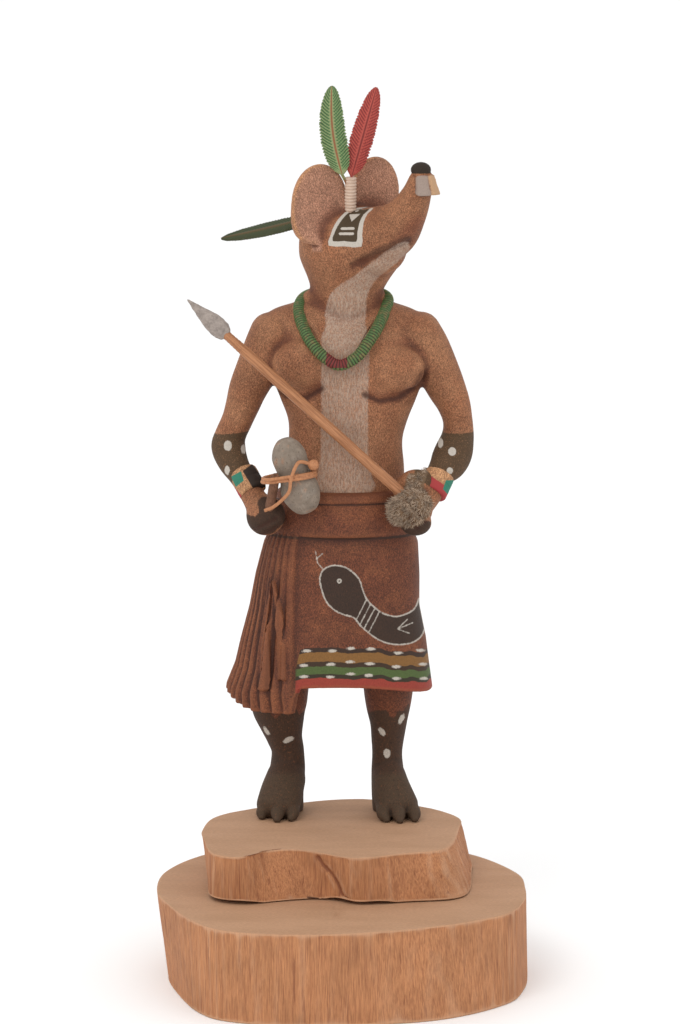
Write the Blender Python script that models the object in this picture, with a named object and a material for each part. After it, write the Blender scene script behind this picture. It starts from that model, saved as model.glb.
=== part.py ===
"""Kachina doll: a carved and painted mouse warrior on two sawn slabs of root wood.

It holds a spear across its chest and a stone club.
The frame has +Z up, the doll faces -Y, and the origin is the centre of the lower slab's underside.
All values are in millimetres until a mesh is made, and angles are in degrees.
"""

import math

import bmesh
import bpy
import numpy as np
from mathutils import Matrix, Vector

MM = 0.001

# Sizes that can be set by themselves
BASE_WIDTH = 155.0
BASE_DEPTH = 155.0
BASE_HEIGHT = 38.0
SLAB_WIDTH = 115.0
SLAB_DEPTH = 105.0
SLAB_HEIGHT = 20.0
SLAB_BACK_SET = 19.0
SLAB_LEFT_SET = 2.6
FIGURE_HEIGHT = 280.0
FIGURE_BACK_SET = 43.7
FIGURE_LEFT_SET = 0.5
POST_DIAMETER = 5.0
POST_LENGTH = 15.0
QUILL_DIAMETER = 1.3
FEATHER_THICKNESS = 2.2
SPEAR_DIAMETER = 4.6
SPEAR_HEAD_LENGTH = 22.5
SPEAR_HEAD_WIDTH = 8.6
STONE_LENGTH = 33.5
STONE_WIDTH = 16.6
HAFT_DIAMETER = 4.2
LACE_DIAMETER = 1.5
EDGE_ROUNDING = 1.0
CLEARANCE = 0.3
SEAT_CLEARANCE = 0.4

# The figure's own shape is written at this height and scaled to FIGURE_HEIGHT
DESIGN_HEIGHT = 280.0
K = FIGURE_HEIGHT / DESIGN_HEIGHT
GROUND = Vector((-FIGURE_LEFT_SET, FIGURE_BACK_SET, BASE_HEIGHT + SLAB_HEIGHT))

# Colour and roughness of each piece
PAINTS = {
    "lower_base": ((0.50, 0.30, 0.18), 0.85),
    "upper_base": ((0.47, 0.25, 0.14), 0.85),
    "figure": ((0.30, 0.15, 0.08), 0.75),
    "feather_post": ((0.72, 0.58, 0.48), 0.85),
    "feather_green": ((0.11, 0.20, 0.08), 0.6),
    "feather_red": ((0.38, 0.06, 0.05), 0.6),
    "feather_back": ((0.05, 0.08, 0.03), 0.6),
    "spear_shaft": ((0.55, 0.27, 0.12), 0.6),
    "spear_head": ((0.36, 0.33, 0.30), 0.65),
    "club_stone": ((0.28, 0.22, 0.18), 0.7),
    "club_haft": ((0.22, 0.15, 0.11), 0.8),
    "club_lacing": ((0.48, 0.24, 0.12), 0.7),
}

# Carving resolution of the figure
VOXEL = 0.9
FIGURE_TRIANGLES = 6700
BLEND_PASSES = 9
CRISP_PASSES = 1

# Seen from above, as shares of half the width and depth, from the left side round by the front
BASE_TOP = [
    (-1.00, -0.06), (-0.945, -0.34), (-0.75, -0.78), (-0.50, -0.965), (-0.04, -0.985),
    (0.42, -0.86), (0.83, -0.62), (0.96, -0.34), (0.985, -0.05), (0.95, 0.27),
    (0.72, 0.67), (0.33, 0.94), (-0.04, 1.00), (-0.42, 0.93), (-0.78, 0.65), (-0.965, 0.30),
]
BASE_BOTTOM = [
    (-0.94, -0.05), (-0.90, -0.32), (-0.76, -0.74), (-0.57, -0.925), (-0.14, -1.00),
    (0.47, -0.90), (0.85, -0.62), (0.97, -0.33), (1.00, 0.00), (0.97, 0.28),
    (0.74, 0.66), (0.35, 0.92), (-0.03, 0.98), (-0.40, 0.91), (-0.74, 0.63), (-0.91, 0.29),
]
SLAB_TOP = [
    (-0.985, -0.10), (-0.96, -0.42), (-0.885, -0.84), (-0.68, -0.98), (-0.50, -0.79), (-0.34, -0.72),
    (-0.17, -0.80), (0.13, -1.00), (0.44, -0.86), (0.78, -0.66), (0.90, 0.00), (0.90, 0.36),
    (0.64, 0.72), (0.19, 0.985), (-0.26, 0.86), (-0.60, 0.67), (-0.90, 0.36),
]
SLAB_BOTTOM = [
    (-0.92, -0.10), (-0.93, -0.45), (-0.89, -0.86), (-0.66, -0.985), (-0.42, -0.90), (-0.19, -0.83),
    (-0.02, -0.87), (0.16, -0.99), (0.50, -0.92), (0.92, -0.76), (1.00, -0.05), (0.98, 0.34),
    (0.70, 0.72), (0.22, 0.99), (-0.22, 0.87), (-0.55, 0.68), (-0.84, 0.36),
]

# The figure's limbs as x, y, z, half width, half depth, from its own ground point between the feet
TORSO = [
    (0.0, 1.0, 104, 29.0, 18.5), (0.2, 0.8, 120, 29.0, 18.6), (1.0, 0.6, 136, 26.0, 17.6),
    (1.8, 0.5, 150, 24.8, 16.6), (1.8, 0.5, 161, 24.0, 16.2), (2.8, 0.2, 170, 25.2, 16.6),
    (3.0, 0.2, 179, 28.6, 17.0), (2.8, 0.6, 189, 32.2, 17.6), (2.4, 1.2, 200, 34.0, 17.2),
    (2.3, 2.0, 207, 34.4, 15.2), (1.6, 2.6, 212.8, 33.6, 12.6), (0.9, 3.0, 216.4, 29.2, 11.0),
    (1.2, 3.4, 219.4, 20.0, 9.2),
]
HEAD = [
    (2.7, 3.8, 214, 15.2, 13.0), (2.4, 3.4, 223.5, 15.2, 14.0), (2.9, 3.2, 227, 16.2, 15.0),
    (3.4, 2.8, 230.4, 17.8, 16.2), (3.9, 2.4, 234, 19.8, 17.6), (3.9, 2.0, 238.5, 21.4, 18.8),
    (3.8, 2.0, 243, 21.6, 19.0), (3.7, 2.0, 247, 21.2, 17.8),
]
SNOUT = [
    (7.0, -2.0, 245.2, 16.2, 13.6), (14.5, -8.6, 247.6, 14.0, 12.5), (21.6, -15.0, 251.4, 11.5, 11.2),
    (27.3, -20.5, 258.6, 8.2, 8.3), (30.8, -24.2, 266.0, 6.2, 6.4), (32.6, -26.0, 272.4, 4.8, 5.1),
]
RIGHT_ARM = [
    (-27.5, 2.0, 205.8, 11.0, 11.4), (-30.9, 2.0, 199.5, 10.3, 11.0), (-35.0, 1.6, 191.5, 9.2, 9.6),
    (-39.0, 1.4, 183.2, 8.2, 8.6), (-41.4, 2.0, 176.2, 7.3, 7.8), (-43.8, 2.6, 169.6, 6.6, 7.2),
    (-46.7, 3.2, 163.0, 6.6, 7.1), (-47.6, 1.5, 158.2, 7.3, 7.2), (-45.6, -3.0, 152.6, 6.5, 6.4),
    (-41.8, -8.0, 147.0, 5.3, 5.4), (-37.6, -13.0, 140.5, 5.0, 5.0), (-34.4, -15.5, 135.5, 5.6, 5.6),
]
LEFT_ARM = [
    (31.2, 2.0, 205.8, 11.0, 11.4), (35.6, 2.0, 199.5, 10.3, 11.0), (40.2, 1.6, 191.5, 9.1, 9.6),
    (44.2, 1.4, 183.2, 8.2, 8.6), (47.4, 2.0, 176.2, 7.1, 7.8), (49.2, 2.8, 169.0, 6.3, 7.0),
    (49.2, 2.6, 162.6, 6.9, 7.2), (47.4, -2.0, 156.6, 8.1, 7.6), (44.8, -7.0, 152.2, 7.8, 7.2),
    (41.2, -12.5, 148.4, 5.8, 5.6), (37.4, -18.0, 141.6, 5.2, 5.2), (33.0, -21.5, 137.0, 5.8, 5.8),
]
RIGHT_LEG = [
    (-25.0, 2.0, 66, 12.5, 13.0), (-26.2, 2.5, 54, 12.3, 12.4), (-26.5, 3.0, 46, 11.8, 11.4),
    (-25.4, 4.0, 38.5, 9.6, 9.8), (-24.2, 5.2, 32, 7.7, 8.2), (-22.9, 6.0, 26.5, 7.0, 7.4),
    (-23.0, 7.0, 18, 7.6, 7.6), (-23.8, 7.0, 8, 7.7, 9.0), (-24.0, 6.0, 1, 7.9, 9.4),
]
LEFT_LEG = [
    (20.0, 2.0, 66, 11.2, 12.6), (20.1, 2.5, 54, 10.6, 11.8), (20.1, 3.2, 46, 9.5, 10.4),
    (20.2, 4.2, 38.5, 7.9, 9.0), (19.9, 5.2, 32, 7.1, 8.0), (19.7, 6.0, 25, 6.5, 7.2),
    (19.9, 7.0, 17, 7.0, 7.6), (20.4, 7.0, 8, 7.4, 9.0), (20.8, 6.0, 1, 7.4, 9.4),
]
# Feet and toes run forwards and down, as x, y, z, half width, half height
RIGHT_FOOT = [
    (-23.4, 4.5, 15.0, 8.3, 9.4), (-25.4, -1.0, 9.4, 9.1, 9.4), (-27.0, -6.5, 4.6, 9.5, 7.6),
]
LEFT_FOOT = [
    (20.2, 4.5, 15.0, 7.3, 9.4), (21.8, -1.5, 9.4, 8.3, 9.4), (24.2, -7.5, 4.6, 9.2, 7.6),
]
TOE_RADIUS = 2.9
TOE_TIP_RADIUS = 1.5
RIGHT_TOES = [
    ((-31.2, -4.5, 5.4), (-33.4, -9.2, 2.6), (-33.8, -11.6, 0.8)),
    ((-26.2, -7.5, 5.8), (-27.0, -13.4, 3.0), (-27.2, -16.8, 0.9)),
    ((-20.8, -6.0, 5.6), (-20.6, -11.6, 2.8), (-21.4, -14.6, 0.9)),
]
LEFT_TOES = [
    ((17.8, -8.0, 5.6), (18.0, -13.6, 2.8), (19.4, -16.6, 0.9)),
    ((23.6, -8.8, 5.8), (24.4, -15.0, 3.0), (25.0, -18.4, 0.9)),
    ((29.4, -6.6, 5.6), (31.0, -12.6, 2.8), (31.2, -16.0, 0.9)),
]

# Rounded masses as centre, half sizes
BALLS = [
    ((-13.5, -8.6, 194.5), (15.5, 9.3, 11.5)),
    ((18.5, -8.6, 192.5), (16.5, 9.3, 11.5)),
    ((15.6, -8.0, 242.8), (11.8, 11.4, 11.2)),
    ((-14.0, 10.0, 108.0), (15.0, 13.0, 18.0)),
    ((16.0, 10.0, 108.0), (15.0, 13.0, 18.0)),
]
NOSE = ((32.6, -27.4, 276.6), (4.2, 4.0, 3.2))
RIGHT_FIST = ((-31.6, -17.2, 131.8), (8.2, 7.6, 8.6))
LEFT_FIST = ((29.0, -25.2, 135.8), (9.2, 7.4, 8.6))
LEFT_PALM = ((31.0, -22.4, 129.6), (6.8, 6.0, 5.6))
HAND_FUR = [((31.4, -18.0, 145.6), (7.8, 6.6, 5.8)), ((27.0, -16.5, 142.6), (5.6, 6.0, 6.2))]

# Each tooth as the middles of its root and its edge, and its turn about Z
TEETH = [
    ((32.6, -29.2, 274.6), (33.6, -32.2, 266.2), 14.0),
    ((36.0, -27.6, 274.6), (38.6, -29.4, 266.4), 62.0),
]
TOOTH_ROOT = (1.9, 1.5)
TOOTH_EDGE = (2.7, 1.2)

# Ears as middle, half width and half height
EAR_THICKNESS = 3.6
EAR_ROUNDING = 0.9
EAR_TAPER = 0.06
EAR_TURN = 18.0
EAR_LEAN = 7.0
EAR_ROLL = 7.0
EAR_LOWER_SHARE = 0.88
EAR_LOWER_CORNER = 0.72
RIGHT_EAR = ((-9.2, -9.6, 260.0), 11.9, 17.9)
LEFT_EAR = ((13.8, 1.5, 264.0), 10.5, 16.3)

# The kilt's half widths and depths by height: z, left, right, front, back
KILT = [
    (127.0, 27.2, 29.0, 18.2, 19.4), (118.0, 31.3, 32.5, 20.2, 22.0), (104.7, 34.8, 33.2, 21.6, 23.2),
    (91.0, 37.4, 33.2, 22.4, 23.4), (77.0, 41.2, 36.0, 23.6, 23.8), (66.0, 43.8, 37.4, 24.8, 24.4),
    (56.0, 47.8, 38.8, 26.0, 25.0),
]
KILT_SQUARENESS = 2.35
HEM_MIDDLE = 59.8
HEM_SIDE = 55.5
PANEL_HEM = 48.4
HEM_WALL = 3.4
HEM_HOLLOW = 2.0
PANEL_FRONT_EDGE = (-33.0, -19.0)
PANEL_BACK_EDGE = -168.0
PANEL_RAISE = 1.5
FLUTES = 19
FLUTE_DEPTH = (1.7, 3.1)

# Belt rows as z and how far they stand out from the torso
BELT = [
    (122.2, 0.4), (123.0, 3.4), (128.0, 3.7), (135.4, 3.0),
    (136.5, 2.1), (137.4, 3.1), (139.8, 2.8), (141.2, 0.9),
]
NECKLACE = [
    (2.6, 18.2, 222.4), (-8.8, 14.2, 222.2), (-15.2, 4.4, 221.2), (-17.6, -2.4, 217.8),
    (-16.8, -8.4, 212.6), (-13.2, -15.4, 205.4), (-8.0, -18.8, 199.4), (-1.0, -20.4, 195.4),
    (6.4, -19.6, 198.6), (11.4, -17.0, 204.6), (15.0, -12.6, 210.0), (18.0, -5.8, 215.8),
    (19.4, 2.4, 220.8), (14.2, 14.0, 222.2),
]
NECKLACE_RADIUS = 2.5

# Each cuff as two points on the forearm's line, and its half width and depth
RIGHT_CUFF = ((-41.5, -7.5, 148.6), (-36.6, -13.4, 140.8), 6.0, 6.0)
LEFT_CUFF = ((41.4, -13.0, 148.4), (37.6, -18.2, 141.0), 6.3, 6.3)

# The feather post; each feather's quill foot, base, tip, greatest half width and sideways bow
POST_FOOT = (3.8, -7.0, 257.0)
POST_TOP = (3.9, -8.6, 272.2)
POST_RINGS = 5
POST_GROOVE = 0.92
GREEN_FEATHER = ((2.8, -8.8, 268.8), (0.4, -10.0, 273.4), (-4.0, -10.0, 310.6), 5.6, -1.8)
RED_FEATHER = ((5.0, -8.0, 268.8), (4.2, -7.3, 272.8), (14.7, -7.0, 309.9), 5.1, 0.0)
BACK_FEATHER = ((-6.0, 9.0, 254.4), (-12.0, 14.0, 253.6), (-51.4, 21.0, 244.2), 5.6, -0.6)
FEATHER_EDGE_SHARE = 0.62
FEATHER_THINNING = 0.5
FEATHER_OUTLINE = [
    (0.04, 0.42), (0.1, 0.72), (0.18, 0.9), (0.28, 0.98), (0.42, 1.0),
    (0.56, 0.97), (0.7, 0.88), (0.83, 0.72), (0.93, 0.5), (0.985, 0.24),
]

# The spear's line from its butt in the fist to its point, and the club in the other hand
SPEAR_BUTT = (27.0, 140.6)
SPEAR_POINT = (-63.6, 222.9)
SPEAR_FIST_SINK = 8.0
CHEST_FRONT = 22.0
SPEAR_TIP_SWING = 2.0
SPEAR_WRAP_TURNS = 4
SPEAR_WRAP_PITCH = 1.7
SPEAR_WRAP_GROOVE = 0.94
SPEAR_NECK_TAPER = 0.18
SPEAR_HEAD_FLATNESS = 0.62
SPEAR_HEAD_PROFILE = [
    (0.0, 0.46), (0.04, 0.72), (0.14, 0.93), (0.26, 1.0),
    (0.42, 0.9), (0.62, 0.64), (0.82, 0.36), (1.0, 0.14),
]
STONE_AT = (-19.0, 150.2)
STONE_LEAN = 18.0
BELLY_FRONT = 18.6
HAFT_FOOT = (-30.6, -20.0, 132.0)
HAFT_TOP = (-27.0, -33.0, 151.2)
STONE_PROFILE = [
    (-0.5, 0.22), (-0.46, 0.52), (-0.38, 0.8), (-0.26, 0.98), (-0.14, 0.97), (-0.04, 0.84), (0.04, 0.81),
    (0.14, 0.87), (0.26, 0.9), (0.36, 0.77), (0.44, 0.54), (0.49, 0.28),
]
STONE_WAIST = 0.86
STONE_FLATNESS = 0.86

# The lace: its turns as heights in lace diameters, and its free end as offsets from the stone's waist
LACE_TURNS = (-0.46, 0.46)
LACE_SLOPE = -0.2
LACE_STEPS = 40
LACE_SLACK = 0.8
LACE_END_HEIGHT = -8.6
LACE_VOXEL = 0.3
LACE_TRIANGLES = 640
KNOT_DIAMETER = 4.6
KNOT_SET = (0.5, -4.4, 2.4)
LACE_OVER = [(1.6, -0.9, 4.4), (-1.8, -1.0, 0.0), (-4.6, -0.9, -5.0)]
LACE_LEAVE = (-4.0, 0.4, 5.6)
LACE_END = [(2.2, 0.0, 0.0), (-2.6, 0.6, -0.6)]

# Cut lines in the front view, as path, width and depth
CUTS = [
    ([(-27.5, 182.6), (-23.0, 180.4), (-15.0, 180.2), (-8.4, 184.6)], 1.9, 1.2),
    ([(33.6, 190.5), (30.4, 184.0), (24.0, 180.2), (16.0, 179.4), (10.0, 182.2)], 1.9, 1.2),
    ([(4.6, 235.4), (14.0, 239.6), (22.0, 243.2), (29.0, 246.6)], 1.7, 0.9),
    ([(24.6, 139.0), (31.6, 128.0)], 1.3, 0.8),
    ([(27.6, 141.0), (35.0, 130.6)], 1.3, 0.8),
    ([(-27.0, 131.6), (-36.0, 126.4)], 1.3, 0.8),
    ([(-26.6, 127.4), (-33.0, 124.0)], 1.3, 0.8),
]
# Hanging sash ends on the pleats, as two edges from the top down, and how far they stand out
SASH_ENDS = [
    ([(-29.2, 104.0), (-33.6, 76.0), (-34.6, 58.0)], [(-28.6, 104.0), (-30.2, 90.0), (-29.6, 57.6)]),
    ([(-28.6, 104.0), (-26.8, 82.0), (-26.6, 62.8)], [(-28.0, 104.0), (-24.0, 88.0), (-23.0, 62.6)]),
]
SASH_RAISE = 1.4


# General shape tools

def curve_through(stations, steps, closed=False):
    """Points of a smooth curve through the stations; every value of a station is carried along."""
    s = np.array(stations, float)
    if closed:
        padded = np.vstack([s[-1], s, s[0], s[1]])
    else:
        padded = np.vstack([2 * s[0] - s[1], s, 2 * s[-1] - s[-2]])
    points = []
    for a, b, c, d in zip(padded[:-3], padded[1:-2], padded[2:-1], padded[3:]):
        for t in np.arange(steps) / steps:
            points.append(0.5 * (2 * b + (c - a) * t + (2 * a - 5 * b + 4 * c - d) * t**2
                                 + (3 * b - a - 3 * c + d) * t**3))
    if not closed:
        points.append(s[-1])
    return np.array(points)


def skin(bm, rings, closed=False):
    """Joins rings of equally many points into one closed surface, with a fan over each open end."""
    rows = [[bm.verts.new(Vector(p) * MM) for p in ring] for ring in rings]
    pairs = list(zip(rows, rows[1:]))
    if closed:
        pairs.append((rows[-1], rows[0]))
    for low, high in pairs:
        for i in range(len(low)):
            j = (i + 1) % len(low)
            bm.faces.new((low[i], low[j], high[j], high[i]))
    if not closed:
        for row in (rows[0], rows[-1]):
            middle = sum((v.co for v in row), Vector()) / len(row)
            hub = bm.verts.new(middle)
            for i in range(len(row)):
                bm.faces.new((row[i], row[(i + 1) % len(row)], hub))


def cross_ring(centre, side, depth, half_width, half_depth, sides):
    angles = np.arange(sides) * 2 * math.pi / sides
    return [centre + side * (half_width * math.cos(a)) + depth * (half_depth * math.sin(a)) for a in angles]


def limb(bm, stations, steps=4, sides=20, front=(0, -1, 0), level=False, rounding=0.8):
    """A smooth tapering limb with an oval section, level or across its line, and round ends."""
    line = curve_through(stations, steps)
    rings = []
    last = len(line) - 1
    for i, (x, y, z, half_width, half_depth) in enumerate(line):
        along = Vector(line[min(i + 1, last)][:3] - line[max(i - 1, 0)][:3]).normalized()
        if level:
            along = Vector((0, 0, 1))
        side = along.cross(Vector(front)).normalized()
        depth = side.cross(along)
        centre = Vector((x, y, z))
        ring = cross_ring(centre, side, depth, half_width, half_depth, sides)
        caps = []
        if i in (0, last):
            outward = along if i == last else -along
            reach = rounding * min(half_width, half_depth)
            for lift in (35.0, 65.0, 82.0):
                a = math.radians(lift)
                caps.append(cross_ring(centre + outward * (reach * math.sin(a)), side, depth,
                                       half_width * math.cos(a), half_depth * math.cos(a), sides))
        if i == 0:
            rings.extend(reversed(caps))
        rings.append(ring)
        if i == last:
            rings.extend(caps)
    skin(bm, rings)


def ball(bm, centre, half_sizes):
    place = Matrix.Translation(Vector(centre) * MM) @ Matrix.Diagonal((*(Vector(half_sizes) * MM), 1))
    bmesh.ops.create_uvsphere(bm, u_segments=24, v_segments=14, radius=1, matrix=place)


def block(bm, centre, half_sizes):
    place = Matrix.Translation(Vector(centre) * MM) @ Matrix.Diagonal((*(Vector(half_sizes) * 2 * MM), 1))
    bmesh.ops.create_cube(bm, size=1, matrix=place)


def tooth(bm, root, edge, turn):
    """A flat wedge that widens from its root to its edge."""
    a = math.radians(turn)
    side = Vector((math.cos(a), math.sin(a), 0))
    depth = Vector((-math.sin(a), math.cos(a), 0))
    rings = []
    for middle, (wide, thick) in ((root, TOOTH_ROOT), (edge, TOOTH_EDGE)):
        corners = ((1, 1), (-1, 1), (-1, -1), (1, -1))
        rings.append([Vector(middle) + side * (wide * u) + depth * (thick * v) for u, v in corners])
    skin(bm, rings)


def ear_outline(t):
    """A point of the ear's outline, as shares of its half width and half height."""
    u, v = math.cos(t), math.sin(t)
    if v > 0:
        return u * (1 + EAR_TAPER * v), v
    return (math.copysign(abs(u) ** EAR_LOWER_CORNER, u),
            math.copysign(abs(v) ** EAR_LOWER_CORNER, v) * EAR_LOWER_SHARE)


def ear(bm, centre, half_width, half_height):
    """A flat ear, round above and squarer below, leaning back, with its edges rounded."""
    a = math.radians(EAR_TURN)
    b = math.radians(EAR_LEAN)
    roll = math.radians(EAR_ROLL)
    level = Vector((math.cos(a), math.sin(a), 0))
    back = Vector((-math.sin(a), math.cos(a), 0))
    rise = Vector((0, 0, 1)) * math.cos(b) + back * math.sin(b)
    side = level * math.cos(roll) - rise * math.sin(roll)
    up = rise * math.cos(roll) + level * math.sin(roll)
    depth = side.cross(up)
    half = EAR_THICKNESS / 2
    rings = []
    for away, inset in ((-half, EAR_ROUNDING), (-half + EAR_ROUNDING, 0), (half - EAR_ROUNDING, 0),
                        (half, EAR_ROUNDING)):
        ring = []
        for t in np.arange(32) * 2 * math.pi / 32:
            u, v = ear_outline(t)
            ring.append(Vector(centre) + depth * away + side * ((half_width - inset) * u)
                        + up * ((half_height - inset) * v))
        rings.append(ring)
    skin(bm, rings)


def cylinder(bm, start, end, radius, sides=16):
    a, b = Vector(start), Vector(end)
    turn = (b - a).to_track_quat("Z", "Y").to_matrix().to_4x4()
    place = Matrix.Translation((a + b) / 2 * MM) @ turn
    bmesh.ops.create_cone(bm, cap_ends=True, segments=sides, radius1=radius * MM, radius2=radius * MM,
                          depth=(b - a).length * MM, matrix=place)


def tube(bm, points, radius, sides=10, closed=False):
    """A round cord through the points, as they come."""
    line = [Vector(p) for p in points]
    count = len(line)
    rings = []
    for i, centre in enumerate(line):
        before = line[(i - 1) % count] if closed else line[max(i - 1, 0)]
        after = line[(i + 1) % count] if closed else line[min(i + 1, count - 1)]
        along = (after - before).normalized()
        side = along.cross(Vector((0.1, 0.2, 1))).normalized()
        rings.append(cross_ring(centre, side, side.cross(along), radius, radius, sides))
    skin(bm, rings, closed)


def place_of(point):
    """A point of the figure, which is written from its own ground point, in the part's frame."""
    return GROUND + Vector(point) * K


# Objects and materials

def clear_scene():
    for obj in list(bpy.data.objects):
        bpy.data.objects.remove(obj)


def paint(name):
    colour, roughness = PAINTS[name]
    material = bpy.data.materials.new(name)
    material.use_nodes = True
    shader = material.node_tree.nodes["Principled BSDF"]
    shader.inputs["Base Color"].default_value = (*colour, 1)
    shader.inputs["Roughness"].default_value = roughness
    shader.inputs["Metallic"].default_value = 0.0
    return material


def finish(name, bm, smooth=40.0):
    """Makes the named object from the shapes in bm, all with their faces pointing out."""
    bmesh.ops.recalc_face_normals(bm, faces=bm.faces)
    mesh = bpy.data.meshes.new(name)
    bm.to_mesh(mesh)
    bm.free()
    mesh.materials.append(paint(name))
    mesh.shade_smooth()
    mesh.set_sharp_from_angle(angle=math.radians(smooth))
    obj = bpy.data.objects.new(name, mesh)
    bpy.context.scene.collection.objects.link(obj)
    return obj


def add_modifier(obj, kind, **settings):
    modifier = obj.modifiers.new(kind.title(), kind)
    for key, value in settings.items():
        setattr(modifier, key, value)
    return modifier


def thin(obj, triangles):
    """Leaves about the given number of triangles."""
    add_modifier(obj, "TRIANGULATE")
    settle(obj)
    share = triangles / len(obj.data.polygons)
    add_modifier(obj, "DECIMATE", ratio=share, use_collapse_triangulate=True)
    settle(obj)


def settle(obj):
    """Replaces the object's mesh with what its modifiers make of it."""
    graph = bpy.context.evaluated_depsgraph_get()
    mesh = bpy.data.meshes.new_from_object(obj.evaluated_get(graph))
    old = obj.data
    obj.modifiers.clear()
    obj.data = mesh
    bpy.data.meshes.remove(old)


def boolean(obj, operation, bm):
    """Cuts the shapes in bm out of the object, or joins them to it."""
    tool = finish(obj.name, bm)
    add_modifier(obj, "BOOLEAN", operation=operation, object=tool, solver="EXACT")
    settle(obj)
    bpy.data.objects.remove(tool)


# The two slabs

def slab(name, low, high, half, centre, floor, height, steps=3):
    """A sawn slice with its own outline below and above, and its edges softened."""
    bm = bmesh.new()
    rise = height - 2 * EDGE_ROUNDING
    rows = [(0.0, 0.0, 1), (0.0, EDGE_ROUNDING, 0), (1.0, EDGE_ROUNDING + rise, 0), (1.0, height, 1)]
    under = curve_through(low, steps, closed=True)
    over = curve_through(high, steps, closed=True)
    rings = []
    for share, lift, inset in rows:
        outline = under * (1 - share) + over * share
        spread = np.array(half) - inset * EDGE_ROUNDING
        rings.append([Vector((centre[0] + x * spread[0], centre[1] + y * spread[1], floor + lift))
                      for x, y in outline])
    skin(bm, rings)
    return finish(name, bm, smooth=50.0)


# The figure

def half_sizes_at(z):
    """The kilt's half widths left and right and half depths front and back at a height."""
    rows = np.array(KILT)[::-1]
    return [float(np.interp(z, rows[:, 0], rows[:, i])) for i in range(1, 5)]


def smooth_step(low, high, value):
    t = np.clip((value - low) / (high - low), 0.0, 1.0)
    return t * t * (3 - 2 * t)


def hem_height(turn):
    """The kilt's lower edge at a turn from the front, positive to the doll's left."""
    away = abs(turn)
    plain = HEM_MIDDLE - (HEM_MIDDLE - HEM_SIDE) * smooth_step(0, 75, away)
    edge = PANEL_FRONT_EDGE[1]
    in_panel = smooth_step(-edge, -edge + 3, -turn) * (1 - smooth_step(42, 92, -turn))
    return plain - (plain - PANEL_HEM) * in_panel


def kilt_point(turn, share):
    """A point of the kilt's surface at a turn from the front and a share of the way down."""
    z = KILT[0][0] + (hem_height(turn) - KILT[0][0]) * share
    left, right, front, back = half_sizes_at(z)
    a = math.radians(turn)
    s, c = math.sin(a), math.cos(a)
    power = 2 / KILT_SQUARENESS
    x = math.copysign(abs(s) ** power, s) * (right if s > 0 else left)
    y = -math.copysign(abs(c) ** power, c) * (front if c > 0 else back)
    edge = PANEL_FRONT_EDGE[0] + (PANEL_FRONT_EDGE[1] - PANEL_FRONT_EDGE[0]) * share
    along = (turn - edge) / (PANEL_BACK_EDGE - edge)
    if 0 < along < 1:
        depth = FLUTE_DEPTH[0] + (FLUTE_DEPTH[1] - FLUTE_DEPTH[0]) * share
        wave = abs(math.sin(math.pi * FLUTES * along)) ** 0.6
        plain_fold = smooth_step(0.6 / FLUTES, 1.2 / FLUTES, along)
        ends = smooth_step(0, 0.02, along) * smooth_step(0, 0.06, 1 - along)
        out = ends * (PANEL_RAISE - depth * (1 - wave) * plain_fold)
        normal = Vector((x, y)).normalized()
        x += normal.x * out
        y += normal.y * out
    return Vector((x, y, z))


def kilt(bm, around=260, down=12):
    """The kilt, hollowed a little under its hem."""
    turns = [-180 + 360 * i / around for i in range(around)]
    rings = [[kilt_point(turn, row / down) for turn in turns] for row in range(down + 1)]
    for inset, lift in ((HEM_WALL, 0.0), (HEM_WALL + 1.0, HEM_HOLLOW)):
        ring = []
        for p in rings[down]:
            outward = Vector((p.x, p.y, 0)).normalized()
            level = p.z if lift == 0 else HEM_MIDDLE + lift
            ring.append(Vector((p.x, p.y, level)) - outward * inset)
        rings.append(ring)
    skin(bm, rings)


def belt(bm):
    """The raised sash round the waist, with its rim, following the torso's own section."""
    line = curve_through(TORSO, 8)
    rings = []
    for z, out in BELT:
        x, y, half_width, half_depth = (float(np.interp(z, line[:, 2], line[:, i])) for i in (0, 1, 3, 4))
        centre = Vector((x, y, z))
        rings.append(cross_ring(centre, Vector((1, 0, 0)), Vector((0, 1, 0)),
                                half_width + out, half_depth + out, 48))
    skin(bm, rings)


def cuff(bm, start, end, half_width, half_depth):
    a, b = Vector(start), Vector(end)
    along = (b - a).normalized()
    side = along.cross(Vector((0, -1, 0))).normalized()
    depth = side.cross(along)
    skin(bm, [cross_ring(p, side, depth, half_width, half_depth, 28) for p in (a, b)])


def toe(bm, points):
    radii = (TOE_RADIUS, TOE_RADIUS, TOE_TIP_RADIUS)
    limb(bm, [(*p, r, r) for p, r in zip(points, radii)], steps=3, sides=12, front=(0, 0, 1))


def soft_forms(bm):
    """Everything that the carver rounded into its neighbours."""
    for stations in (TORSO, HEAD):
        limb(bm, stations, level=True)
    for stations in (RIGHT_ARM, LEFT_ARM, RIGHT_LEG, LEFT_LEG):
        limb(bm, stations)
    limb(bm, SNOUT, front=(0, 0, 1))
    for stations in (RIGHT_FOOT, LEFT_FOOT):
        limb(bm, stations, front=(0, 0, 1))
    for centre, half_sizes in [*BALLS, RIGHT_FIST, LEFT_FIST, LEFT_PALM, *HAND_FUR]:
        ball(bm, centre, half_sizes)


def crisp_forms(bm):
    """What keeps a clear edge: kilt, belt, cuffs, necklace, ears, nose, teeth and toes."""
    for points in RIGHT_TOES + LEFT_TOES:
        toe(bm, points)
    kilt(bm)
    belt(bm)
    cuff(bm, *RIGHT_CUFF)
    cuff(bm, *LEFT_CUFF)
    tube(bm, curve_through(NECKLACE, 5, closed=True), NECKLACE_RADIUS, 12, closed=True)
    ball(bm, *NOSE)
    for values in TEETH:
        tooth(bm, *values)
    for values in (RIGHT_EAR, LEFT_EAR):
        ear(bm, *values)


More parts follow.
